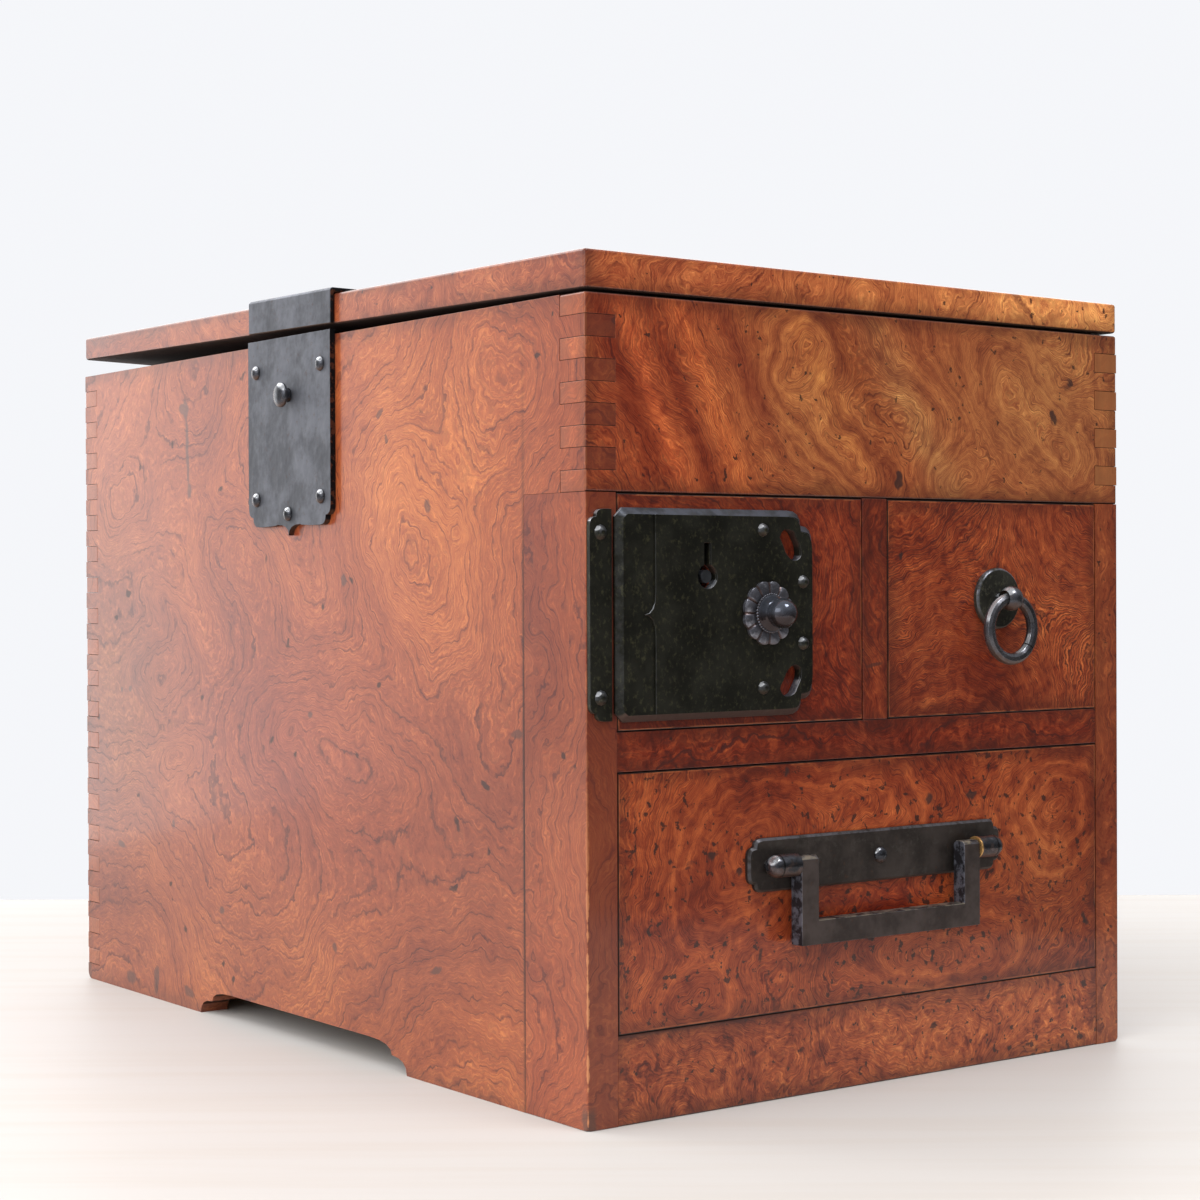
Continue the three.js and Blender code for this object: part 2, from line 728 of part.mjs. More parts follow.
const rightFrontCuts = [
  shankHole(ringNeckRadius + glueLine, [ringX, ringDiscY, ringDiscZ], toFront, shankLength + ringDiscThickness + seatGap),
];

// Bail handle: plate, two barrel heads and the bail that turns between them

const handleMidZ = (lowerDrawerZ[0] + lowerDrawerZ[1]) / 2 + handleRaise;
const handleFaceY = plateBackY - handleThickness;
const pivotY = handleFaceY - glueLine - headRadius;
const headInnerX = handleWidth / 2 - headInset - headLength;
const bailWidth = 2 * (headInnerX - seatGap);
const headShankX = headInnerX + headLength - headRadius;

function handleOutline() {
  const x = handleWidth / 2;
  const top = handleMidZ + handleHeight / 2;
  const bottom = handleMidZ - handleHeight / 2;
  const c = handleCorner;
  const shape = new THREE.Shape();
  shape.moveTo(c - x, bottom);
  lobedCorner(shape, [x - c, bottom], [x, bottom], [x, bottom + c]);
  lobedCorner(shape, [x, top - c], [x, top], [x - c, top]);
  lobedCorner(shape, [c - x, top], [-x, top], [-x, top - c]);
  lobedCorner(shape, [-x, bottom + c], [-x, bottom], [c - x, bottom]);
  return shape;
}

function handlePlate() {
  const holes = [-1, 1].map((side) => shankHole(headShankRadius + glueLine,
    [side * headShankX, handleFaceY, handleMidZ], toFront, overrun));
  const nailHole = shankHole(nailShankRadius + glueLine, [0, handleFaceY, handleMidZ], toFront, overrun);
  return cut(bevelledSlab(handleOutline(), plateBackY, handleThickness, handleBevel), ...holes, nailHole);
}

function handleHead(side) {
  const outward = side > 0 ? toRight : toLeft;
  const straight = headLength - headRadius;
  const crown = domeShares.map(([r, h]) => [headRadius * r, straight + headRadius * h]);
  const barrel = turned([[0, 0], [headRadius, 0], ...crown], [side * headInnerX, pivotY, handleMidZ],
    outward, mediumSides);
  const shankRoot = frontY + shankLength;
  const shank = rod(headShankRadius, shankRoot - pivotY, [side * headShankX, shankRoot, handleMidZ],
    toFront, smallSides);
  const socket = rod(bailPinRadius + seatGap, bailPinLength + overrun,
    [side * (headInnerX - overrun), pivotY, handleMidZ], outward, mediumSides);
  return cut(join(barrel, shank), socket);
}

function bail() {
  const x = bailWidth / 2;
  const inner = x - bailLegWidth;
  const top = handleMidZ + bailTop;
  const bottom = handleMidZ - bailDrop;
  const shape = new THREE.Shape();
  shape.moveTo(-x, bottom);
  shape.lineTo(x, bottom);
  shape.lineTo(x, top);
  shape.lineTo(inner, top);
  shape.lineTo(inner, bottom + bailBarHeight);
  shape.lineTo(-inner, bottom + bailBarHeight);
  shape.lineTo(-inner, top);
  shape.lineTo(-x, top);
  const frame = alongDepth(shape, pivotY, bailDepth);
  const corner = bailTopChamfer * Math.SQRT2;
  const chamfers = [-1, 1].map((end) => {
    const geometry = new THREE.BoxGeometry(bailWidth + 2 * overrun, corner, corner);
    geometry.rotateX(Math.PI / 4);
    geometry.translate(0, pivotY + (end * bailDepth) / 2, top);
    return solidOf(geometry);
  });
  const pins = [-1, 1].map((side) => rod(bailPinRadius, bailPinLength + seatGap,
    [side * (x - seatGap), pivotY, handleMidZ], side > 0 ? toRight : toLeft, mediumSides));
  return join(cut(frame, ...chamfers), ...pins);
}

const lowerFrontCuts = [
  ...[-1, 1].map((side) => shankHole(headShankRadius + glueLine, [side * headShankX, handleFaceY, handleMidZ],
    toFront, shankLength + handleThickness + seatGap)),
  shankHole(nailShankRadius + glueLine, [0, handleFaceY, handleMidZ], toFront, nailShankLength + seatGap),
];

// Catch on the left side: plate, push button and latch on the body, strap and tongue on the lid

const catchTopZ = bodyHeight + catchRise;
const catchFootZ = catchTopZ - catchHeight;
const catchBackX = sideX + glueLine;
const catchFaceX = catchBackX + catchThickness;
const buttonZ = catchTopZ - buttonDrop;

function cuspedPlate(halfWidth, top, foot, corner, tipLength, tipHalfWidth, hump) {
  const shape = new THREE.Shape();
  shape.moveTo(-halfWidth, top);
  lobedCorner(shape, [-halfWidth, foot + corner], [-halfWidth, foot], [corner - halfWidth, foot]);
  shape.quadraticCurveTo(-tipHalfWidth, foot, -tipHalfWidth, foot + hump);
  shape.quadraticCurveTo(0, foot + hump, 0, foot - tipLength);
  shape.quadraticCurveTo(0, foot + hump, tipHalfWidth, foot + hump);
  shape.quadraticCurveTo(tipHalfWidth, foot, halfWidth - corner, foot);
  lobedCorner(shape, [halfWidth - corner, foot], [halfWidth, foot], [halfWidth, foot + corner]);
  shape.lineTo(halfWidth, top);
  return shape;
}

const nailY = catchWidth / 2 - catchNailInset;
const catchNailPlaces = [
  [nailY, catchTopZ - catchTopNailDrop],
  [-nailY, catchTopZ - catchTopNailDrop],
  [nailY, catchFootZ + catchLowNailRise],
  [-nailY, catchFootZ + catchLowNailRise],
  [0, catchFootZ + catchTipNailRise],
];

function catchPlate() {
  const outline = cuspedPlate(catchWidth / 2, catchTopZ, catchFootZ, catchCorner,
    catchTipLength, catchTipHalfWidth, catchHump);
  const nailHoles = catchNailPlaces.map(([y, z]) => shankHole(nailShankRadius + glueLine,
    [-catchFaceX, y, z], toLeft, overrun));
  const buttonHole = shankHole(buttonNeckRadius + seatGap, [-catchFaceX, 0, buttonZ], toLeft, overrun);
  return cut(sideSlab(-1, outline, catchBackX, catchThickness), ...nailHoles, buttonHole);
}

const leftBoardHoles = [
  ...catchNailPlaces.map(([y, z]) => shankHole(nailShankRadius + glueLine, [-catchFaceX, y, z], toLeft,
    nailShankLength + seatGap)),
  shankHole(buttonNeckRadius + seatGap, [-catchFaceX, 0, buttonZ], toLeft, catchThickness + sideThickness + overrun),
];

// The stem starts inside the compartment, where the latch is riveted to it
const latchWallX = runningGap - innerX;

function catchButton() {
  const stemLength = latchWallX + catchFaceX + buttonProud - buttonHeadThickness;
  const crown = domeShares.map(([r, h]) => [
    buttonHeadRadius * r,
    stemLength + (buttonHeadThickness * (1 + 2 * h)) / 3,
  ]);
  const profile = [[0, 0], [buttonNeckRadius, 0], [buttonNeckRadius, stemLength],
    [buttonHeadRadius, stemLength], ...crown];
  return turned(profile, [latchWallX, 0, buttonZ], toLeft, mediumSides);
}

// How far the warp lifts the lid's underside and its top over any point
function lidLifts(x, y) {
  const across = Math.max(0, sideX - x) / chestWidth;
  const back = (y - frontY) / chestDepth;
  const under = lidRearLift * across * back;
  const top = across * (lidFrontTopLift + (lidRearTopLift - lidFrontTopLift) * back);
  return [under, top];
}

// Bends a piece that was drawn on a flat lid to the warped one
function warpToLid(geometry) {
  const position = geometry.attributes.position;
  for (let i = 0; i < position.count; i += 1) {
    const [under, top] = lidLifts(position.getX(i), position.getY(i));
    const height = THREE.MathUtils.clamp((position.getZ(i) - lidBottomZ) / lidThickness, 0, 1);
    position.setZ(i, position.getZ(i) + under + (top - under) * height);
  }
  geometry.computeVertexNormals();
}

const tongueX = [2 * runningGap - innerX, 2 * runningGap - innerX + tongueThickness];
const hookTopZ = lidBottomZ - tongueLength + tongueHook;
const hookLift = lidLifts(tongueX[0], 0)[0];

function lidTongue() {
  const under = lidBottomZ - seatGap;
  const foot = lidBottomZ - tongueLength;
  const shape = new THREE.Shape();
  shape.moveTo(tongueX[0], under);
  shape.lineTo(tongueX[0], foot);
  shape.lineTo(tongueX[1], foot);
  shape.lineTo(tongueX[1] + tongueHook, hookTopZ);
  shape.lineTo(tongueX[1], hookTopZ);
  shape.lineTo(tongueX[1], under - tongueThickness);
  shape.lineTo(tongueX[0] + tongueFlange, under - tongueThickness);
  shape.lineTo(tongueX[0] + tongueFlange, under);
  return alongDepth(shape, 0, tongueWidth);
}

// The latch: a strip on the button's stem, cranked inwards to carry a nose over the tongue's hook
function catchLatch() {
  const wall = latchWallX + glueLine;
  const innerFace = Math.max(wall + latchOffset, tongueX[1] + tongueHook + latchNose + 2 * runningGap);
  const noseTip = tongueX[1] + tongueHook + runningGap;
  const noseZ = hookTopZ + hookLift + runningGap;
  const crankZ = noseZ - latchHeadHeight;
  const footZ = Math.min(crankZ, buttonZ) - latchFootHeight;
  const t = latchThickness;
  const shape = new THREE.Shape();
  shape.moveTo(wall, footZ);
  shape.lineTo(wall + t, footZ);
  shape.lineTo(wall + t, crankZ - t);
  shape.lineTo(innerFace + t, crankZ - t);
  shape.lineTo(innerFace + t, noseZ + t);
  shape.lineTo(noseTip, noseZ + t);
  shape.lineTo(noseTip, noseZ);
  shape.lineTo(innerFace, noseZ);
  shape.lineTo(innerFace, crankZ);
  shape.lineTo(wall, crankZ);
  return alongDepth(shape, 0, latchWidth);
}

function strapProfile(side, drop, thickness, reach) {
  const near = sideX + seatGap;
  const far = near + thickness;
  const top = lidTopZ + seatGap;
  const points = [[near, drop], [far, drop], [far, top + thickness / 2], [far - thickness / 2, top + thickness],
    [sideX - reach, top + thickness], [sideX - reach, top], [near, top]];
  const placed = points.map(([x, z]) => new THREE.Vector2(side * x, z));
  return new THREE.Shape(side > 0 ? placed : placed.reverse());
}

function lidStrap() {
  const strap = alongDepth(strapProfile(-1, lidBottomZ + glueLine, strapThickness, strapReach), 0, catchWidth);
  const clips = [-1, 1].map((end) => {
    const size = strapClip * Math.SQRT2;
    const geometry = new THREE.BoxGeometry(size, size, 2 * overrun);
    geometry.rotateZ(Math.PI / 4);
    geometry.translate(strapReach - sideX, (end * catchWidth) / 2, lidTopZ + seatGap);
    return solidOf(geometry);
  });
  return cut(strap, ...clips);
}

// Lid board, drawn flat in strips so that it can take the warp

function lidBoard() {
  const geometry = new THREE.BoxGeometry(chestWidth, chestDepth, lidThickness, lidStrips, lidStrips, 1);
  geometry.translate(0, 0, (lidBottomZ + lidTopZ) / 2);
  return solidOf(geometry);
}

// Hinges on the right side: three knuckles on a pin, two on the body leaf and one on the lid leaf

const hingeX = sideX + glueLine + knuckleRadius;
const hingeZ = bodyHeight + lidGap / 2;
const knuckleLength = hingeWidth / 3;

function knuckle(y, from, to) {
  return rod(knuckleRadius, to - from, [hingeX, y - from, hingeZ], toFront, mediumSides);
}

function knuckleBore(y) {
  return rod(hingePinRadius + seatGap, hingeWidth + 2 * overrun,
    [hingeX, y + hingeWidth / 2 + overrun, hingeZ], toFront, mediumSides);
}

function knuckleRoom(y, from, to) {
  const reach = knuckleRadius + seatGap;
  return block([hingeX - reach - overrun, hingeX + reach], [y - to - seatGap, y - from + seatGap],
    [hingeZ - reach, hingeZ + reach]);
}

function bodyLeaf(y) {
  const middle = knuckleLength / 2;
  const end = hingeWidth / 2;
  const outline = cuspedPlate(end, hingeZ, hingeZ - hingeDrop, hingeCorner, hingeTip, hingeTipHalfWidth, 0);
  const plate = sideSlab(1, outline, sideX + glueLine, hingeThickness).translate([0, y, 0]);
  const nails = [-1, 1].map((side) => dome(nailHeadRadius * 0.8, nailHeadHeight + hingeThickness / 2,
    [sideX + glueLine + hingeThickness / 2, y + side * (end - hingeNailInset), hingeZ - hingeNailDrop],
    toRight, smallSides));
  const leaf = cut(plate, knuckleRoom(y, -middle, middle));
  return cut(join(leaf, knuckle(y, middle, end), knuckle(y, -end, -middle), ...nails), knuckleBore(y));
}

function lidLeaf(y) {
  const middle = knuckleLength / 2 - seatGap;
  const end = hingeWidth / 2;
  const strap = alongDepth(strapProfile(1, hingeZ, hingeThickness, strapReach), y, hingeWidth);
  const cleared = cut(strap, knuckleRoom(y, middle, end + seatGap), knuckleRoom(y, -end - seatGap, -middle));
  return cut(join(cleared, knuckle(y, -middle, middle)), knuckleBore(y));
}

function hingePin(y) {
  return rod(hingePinRadius, hingeWidth + 2 * glueLine, [hingeX, y + hingeWidth / 2 + glueLine, hingeZ],
    toFront, mediumSides);
}

// Assembly

add('left_side_board', cut(sideBoard(-1), ...leftBoardHoles), burrWood);
add('right_side_board', sideBoard(1), burrWood);
add('back_board', backBoard, burrWood);
add('front_apron', apronBoard, burrWood);
add('left_front_post', cut(frontPost(-1), postMortise), burrWood);
add('right_front_post', frontPost(1), burrWood);
add('mid_rail', rail(midRailZ, upperSillZ), burrWood);
add('bottom_rail', rail(0, bottomRailHeight), burrWood);
add('divider_panel', block([-halfDivider, halfDivider], [frontY, innerBackY - glueLine],
  [upperSillZ + glueLine, apronBottomZ - glueLine]), burrWood);
add('compartment_floor', shelf(apronBottomZ, frontY + apronThickness), palePaulownia);
add('middle_shelf', shelf(upperSillZ - shelfThickness, frontY + railThickness), palePaulownia);
add('bottom_board', shelf(bottomRailHeight - shelfThickness, frontY + railThickness), palePaulownia);

add('lid_board', lidBoard(), burrWood, warpToLid);
add('lid_strap', lidStrap(), blackIron, warpToLid);
add('lid_tongue', lidTongue(), blackIron, warpToLid);

add('catch_plate', catchPlate(), blackIron);
catchNailPlaces.forEach(([y, z], i) => {
  add(`catch_nail_${i + 1}`, nail([-catchFaceX - glueLine, y, z], toLeft), polishedIron);
});
add('catch_button', catchButton(), polishedIron);
add('catch_latch', catchLatch(), blackIron);

for (const [end, y] of [['front', -hingeSpacing / 2], ['rear', hingeSpacing / 2]]) {
  add(`${end}_hinge_body_leaf`, bodyLeaf(y), blackIron);
  add(`${end}_hinge_lid_leaf`, lidLeaf(y), blackIron, warpToLid);
  add(`${end}_hinge_pin`, hingePin(y), polishedIron);
}

addDrawer('left_drawer', leftDrawerX, upperDrawerZ, leftFrontCuts);
add('lock_plate', cut(bevelledSlab(lockOutline(), plateBackY, lockThickness, lockBevel), ...lockPiercings), blackIron);
add('lock_overlay', lockOverlay(), blackIron);
add('lock_case', lockCase(), blackIron);
add('lock_bolt', block([boltTipX, boltTipX + boltLength], boltY, boltZ), polishedIron);
add('lock_rosette', rosette(), polishedIron);
add('lock_knob', knob(), polishedIron);
add('keeper_plate', keeperPlate(), blackIron);

addDrawer('right_drawer', rightDrawerX, upperDrawerZ, rightFrontCuts);
add('ring_disc', ringDisc(), blackIron);
add('ring_eye', ringEye(), polishedIron);
add('pull_ring', pullRing(), polishedIron);

addDrawer('lower_drawer', lowerDrawerX, lowerDrawerZ, lowerFrontCuts);
add('handle_plate', handlePlate(), blackIron);
add('handle_nail', nail([0, handleFaceY - glueLine, handleMidZ], toFront), polishedIron);
add('left_handle_head', handleHead(-1), polishedIron);
add('right_handle_head', handleHead(1), polishedIron);
add('bail', bail(), blackIron);

// The origin is on the ground, under the middle of the chest with its fittings
const leftReach = catchFaceX + buttonProud - sideX;
const rightReach = hingeX + knuckleRadius - sideX;
const frontReach = frontY - lockFaceY + knobStandoff + knobBallRadius;
chest.position.set((leftReach - rightReach) / 2, frontReach / 2, 0);

export default chest;
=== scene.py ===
# A small ship chest of burr wood and black iron on a pale table. Its boards and fittings come from
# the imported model; here each gets worn edges and its real surface, and the finest trim is added.

import math

import bmesh
import bpy
from mathutils import Matrix, Vector


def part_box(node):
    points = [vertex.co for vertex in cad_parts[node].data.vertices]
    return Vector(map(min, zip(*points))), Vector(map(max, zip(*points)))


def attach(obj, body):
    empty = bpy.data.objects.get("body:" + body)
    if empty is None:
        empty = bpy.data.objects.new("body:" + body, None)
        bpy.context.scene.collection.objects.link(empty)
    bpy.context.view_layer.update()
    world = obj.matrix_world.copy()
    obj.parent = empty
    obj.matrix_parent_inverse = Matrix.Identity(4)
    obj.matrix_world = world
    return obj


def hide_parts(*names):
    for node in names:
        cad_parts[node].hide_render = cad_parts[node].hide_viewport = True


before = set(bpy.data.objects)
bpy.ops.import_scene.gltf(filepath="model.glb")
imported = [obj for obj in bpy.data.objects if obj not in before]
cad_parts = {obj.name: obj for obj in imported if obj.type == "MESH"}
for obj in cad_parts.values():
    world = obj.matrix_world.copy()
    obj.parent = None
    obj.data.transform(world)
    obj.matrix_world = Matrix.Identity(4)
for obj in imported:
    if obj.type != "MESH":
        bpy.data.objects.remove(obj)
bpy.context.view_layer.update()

MM = 0.001


def add_object(name, data):
    """Puts a camera, a lamp or a mesh into the scene."""
    made = bpy.data.objects.new(name, data)
    bpy.context.scene.collection.objects.link(made)
    return made


# Camera: a long lens at the middle height of the chest, off its front left corner. It looks along
# ahead, with across and up as the picture's own directions.
yaw, pitch, roll = (math.radians(angle) for angle in (36.3585, -0.3727, -0.2396))
ahead = Vector((math.sin(yaw) * math.cos(pitch), math.cos(yaw) * math.cos(pitch), math.sin(pitch)))
level = Vector((math.cos(yaw), -math.sin(yaw), 0))
rise = level.cross(ahead)
across = math.cos(roll) * level + math.sin(roll) * rise
up = math.cos(roll) * rise - math.sin(roll) * level
eye = Vector((-617.05, -859.07, 188.85)) * MM
camera = add_object("camera", bpy.data.cameras.new("camera"))
camera.data.lens = 71.47
camera.matrix_world = Matrix.Translation(eye) @ Matrix((across, up, -ahead)).transposed().to_4x4()
bpy.context.scene.camera = camera
bpy.context.scene.view_settings.view_transform = "Standard"


# Table: a pale laminated top with eased edges, set square to the camera; the chest stands near its
# right end. The laminate has faint streaks along its length.
class Value:
    """A number or colour that varies over a surface: an output socket of a tree's nodes."""

    def __init__(self, nodes, socket):
        self.nodes, self.socket = nodes, socket

    def math(self, operation, *others):
        return self.nodes.node("Math", {"operation": operation}, self, *others)

    def __add__(self, other):
        return self.math("ADD", other)

    def __sub__(self, other):
        return self.math("SUBTRACT", other)

    def __rsub__(self, other):
        return self.nodes.node("Math", {"operation": "SUBTRACT"}, other, self)

    def __mul__(self, other):
        return self.math("MULTIPLY", other)

    __radd__, __rmul__ = __add__, __mul__

    def least(self, other):
        return self.math("MINIMUM", other)

    def most(self, other):
        return self.math("MAXIMUM", other)

    def fade(self, start, end):
        """Rises smoothly from 0 at start to 1 at end, whichever of them is larger."""
        if start > end:
            return 1 - self.fade(end, start)
        settings = {"interpolation_type": "SMOOTHSTEP"}
        return self.nodes.node("MapRange", settings, self, start, end, 0.0, 1.0)


class Nodes:
    """A node tree, built up node by node."""

    def __init__(self, tree):
        self.tree = tree

    def node(self, kind, settings=None, *inputs, output=0, **named):
        made = self.tree.nodes.new("ShaderNode" + kind)
        for key, value in (settings or {}).items():
            if key == "stops":
                self.set_stops(made.color_ramp.elements, value)
            else:
                setattr(made, key, value)
        for key, value in [*enumerate(inputs), *named.items()]:
            if value is not None:
                self.feed(made.inputs[key], value)
        return Value(self, made.outputs[output])

    def set_stops(self, stops, shades):
        """Spreads shades evenly over a ramp."""
        stops[0].color, stops[1].color = colour(*shades[0]), colour(*shades[-1])
        for i, shade in enumerate(shades[1:-1], 1):
            stops.new(i / (len(shades) - 1)).color = colour(*shade)

    def feed(self, socket, value):
        if isinstance(value, Value):
            self.tree.links.new(value.socket, socket)
        else:
            socket.default_value = value

    def noise(self, place, scale, detail=2.0, roughness=0.5, output=0, **more):
        return self.node("TexNoise", None, Vector=place, Scale=scale, Detail=detail,
                         Roughness=roughness, output=output, **more)

    def drift(self, along):
        """Noise that varies with one number only."""
        return self.node("TexNoise", {"noise_dimensions": "1D"}, None, along, 1.0)

    def mix(self, share, first, second, blend="MIX"):
        settings = {"data_type": "RGBA", "blend_type": blend}
        other_types = (None,) * 5
        return self.node("Mix", settings, share, *other_types, first, second, output=2)

    def vector(self, operation, *inputs, output=0):
        return self.node("VectorMath", {"operation": operation}, *inputs, output=output)

    def dot(self, place, direction):
        return self.vector("DOT_PRODUCT", place, tuple(direction), output=1)

    def axes(self, place):
        split = self.node("SeparateXYZ", None, place).socket.node
        return [Value(self, socket) for socket in split.outputs]

    def bump(self, height, depth, strength):
        return self.node("Bump", None, Strength=strength, Distance=depth, Height=height)


class Finish(Nodes):
    """The surface of one piece. Shades are laid one over another on its first tone."""

    def __init__(self, name):
        self.material = bpy.data.materials.new(name)
        self.material.use_nodes = True
        super().__init__(self.material.node_tree)
        self.shader = self.tree.nodes["Principled BSDF"]
        self.place = self.node("TexCoord", output="Object")
        self.facing = Value(self, self.place.socket.node.outputs["Normal"])
        self.tone = None

    def over(self, share, shade, blend="MIX"):
        second = shade if isinstance(shade, Value) else colour(*shade)
        self.tone = self.mix(share, self.tone, second, blend)

    def paint(self, **sockets):
        self.feed(self.shader.inputs["Base Color"], self.tone)
        for key, value in sockets.items():
            self.feed(self.shader.inputs[key.replace("_", " ")], value)
        return self.material


def colour(*levels):
    return (*levels, 1.0)


def ease(form, geom, offset, segments, affect="EDGES"):
    """Rounds edges or corners."""
    bmesh.ops.bevel(form, geom=geom, offset=offset, offset_type="OFFSET", segments=segments,
                    profile=0.5, affect=affect, clamp_overlap=True, material=-1)


table_depths = (0.42, 1.44)
table_sides = (-1.5, 0.5)
table_thickness = 0.028
table_easing = 0.003
span = (table_sides[1] - table_sides[0], table_depths[1] - table_depths[0], table_thickness)
middle = Vector((sum(table_sides) / 2, sum(table_depths) / 2, -table_thickness / 2))
form = bmesh.new()
bmesh.ops.create_cube(form, size=1.0)
bmesh.ops.scale(form, vec=span, verts=form.verts)
bmesh.ops.translate(form, vec=middle, verts=form.verts)
ease(form, form.edges[:], table_easing, 3)
bmesh.ops.rotate(form, cent=(0, 0, 0), matrix=Matrix.Rotation(-yaw, 3, "Z"), verts=form.verts)
bmesh.ops.translate(form, vec=(eye.x, eye.y, 0), verts=form.verts)
table = bpy.data.meshes.new("table_top")
form.to_mesh(table)
form.free()
table_top = add_object("table_top", table)
laminate = Finish("pale_laminate")
turned = laminate.node("VectorRotate", {"rotation_type": "Z_AXIS"}, laminate.place, Angle=yaw)
streaks = laminate.noise(laminate.vector("MULTIPLY", turned, (3, 60, 1)), 1.0, 4.0, 0.6)
broad = laminate.noise(laminate.vector("MULTIPLY", turned, (0.8, 5, 1)), 1.0, 2.0)
laminate.tone = colour(0.63, 0.60, 0.575)
laminate.over(streaks.fade(0.42, 0.66) * 0.5, (0.60, 0.55, 0.505))
laminate.over(broad.fade(0.4, 0.7) * 0.5, (0.63, 0.61, 0.595))
table.materials.append(laminate.paint(Roughness=0.55, Specular_IOR_Level=0.2))


# Room: a bright studio. Soft light falls mostly from the left; what the lacquer and iron mirror is
# dimmer, with one bright patch at the rear left; the camera sees a plain pale wall.
def wall(facing, level):
    """Soft light from one side of the room."""
    part = facing.most(0.0)
    return part * part * level


world = bpy.data.worlds.new("room")
bpy.context.scene.world = world
world.use_nodes = True
room = Nodes(world.node_tree)
x, y, z = room.axes(room.node("TexCoord", output="Generated"))
from_left = x * -0.94 + y * -0.26 + z * 0.22
glow = wall(from_left, 3.1) + wall(x, 0.3) + wall(y, 1.5) + wall(z, 0.95)
rear_left = x.fade(-0.66, -0.36) * y.fade(0.0, 0.6)
mirrored = rear_left * 2.4 + wall(x * -1, 0.6) + wall(z, 0.6) + wall(x, 0.15)
rays = room.node("LightPath").socket.node
glow = room.mix(Value(room, rays.outputs["Is Glossy Ray"]), glow, mirrored)
seen = Value(room, rays.outputs["Is Camera Ray"])
seen = seen.most(Value(room, rays.outputs["Is Transmission Ray"]))
light = room.node("Background", None, colour(1.0, 1.0, 1.0), glow)
backdrop = room.node("Background", None, colour(0.915, 0.925, 0.955))
shown = room.node("MixShader", None, seen, light, backdrop)
room.feed(room.tree.nodes["World Output"].inputs[0], shown)

# Softboxes: a window behind on the left, a large one at the left and one above the front. Each
# faces the chest, with its direction, its distance and size in metres, and its watts.
aim = Vector((0, 0, 0.15))
for name, toward, distance, size, watts in (
        ("window", (-0.49, 0.61, 0.62), 2.2, (0.48, 0.34), 6.5),
        ("side_light", (-0.93, -0.25, 0.42), 2.4, (1.6, 1.2), 8),
        ("overhead", (0.14, -0.57, 0.81), 2.2, (0.75, 0.55), 12.5)):
    data = bpy.data.lights.new(name, "AREA")
    data.shape, data.size, data.size_y, data.energy = "RECTANGLE", *size, watts
    lamp = add_object(name, data)
    toward = Vector(toward).normalized()
    lamp.location = aim + toward * distance
    lamp.rotation_euler = toward.to_track_quat("Z", "Y").to_euler()


# Left side board: one wildly figured board of burr wood under worn red-brown lacquer, combed to the
# boards beside it. Growth lines wind round the burr's eyes in bundles, with finer hairs, curls,
# pores and dark knots between them, and wear has rounded its edges, most at the chest's corners.
case = (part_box("left_side_board")[0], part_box("right_side_board")[1])
left_x, front_y, rear_y = -135, -195.95, 214.05
lacquer = ((0.060, 0.010, 0.006), (0.145, 0.025, 0.011), (0.265, 0.060, 0.021), (0.43, 0.122, 0.038),
           (0.62, 0.215, 0.066))
line_brown = (0.04, 0.010, 0.009)
knot_black = (0.03, 0.014, 0.012)
pepper_black = (0.02, 0.012, 0.011)
stain_and_shadow_brown = (0.05, 0.022, 0.018)
grime_red = (0.05, 0.012, 0.008)
rubbed_orange = (0.50, 0.16, 0.06)
gap_shade_black = (0.012, 0.005, 0.004)
end_brown = (0.10, 0.022, 0.016)
soot_brown = (0.07, 0.035, 0.026)
worn_tan = (0.42, 0.16, 0.065)
bare_and_shade_dark = (0.022, 0.012, 0.009)


def on_side(back, height):
    """A place on the left side, in millimetres from its lower rear corner."""
    return (left_x, rear_y - back, height)


def blob(wood, place, across, centre, radii, tilt=0.0):
    """A soft round patch, 1 at its centre, on a face whose level direction is across. With two
    radii it goes right through the board, and a third is its depth. All are in millimetres."""
    turn, upright = math.radians(tilt), Vector((0, 0, 1))
    along = (across * math.cos(turn) + upright * math.sin(turn),
             upright * math.cos(turn) - across * math.sin(turn), across.cross(upright))
    spread = 0
    for direction, radius in zip(along, radii):
        direction = direction / (radius * MM)
        off = wood.dot(place, direction) - direction.dot(Vector(centre) * MM)
        spread = off * off + spread
    return (spread * -1).math("EXPONENT")


def gaps_to(finish, low, high):
    """The distances from a point to the nearer faces of a box, along x, y and z."""
    return [(axis - a).least(b - axis) for axis, a, b in zip(finish.axes(finish.place), low, high)]


def from_edge(finish, node):
    """The distance from a point on a board's face to its nearest edge."""
    dx, dy, dz = gaps_to(finish, *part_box(node))
    return dx.least(dy).most(dx.most(dy).least(dz))


def stretched(finish, along, place, shift, scale, *noise):
    """Noise drawn out by another value, so that it streams along that value's contours."""
    flow = finish.vector("MULTIPLY", place, (scale,) * 3)
    return finish.noise(finish.vector("MULTIPLY_ADD", along, (shift,) * 3, flow), 1.0, *noise)


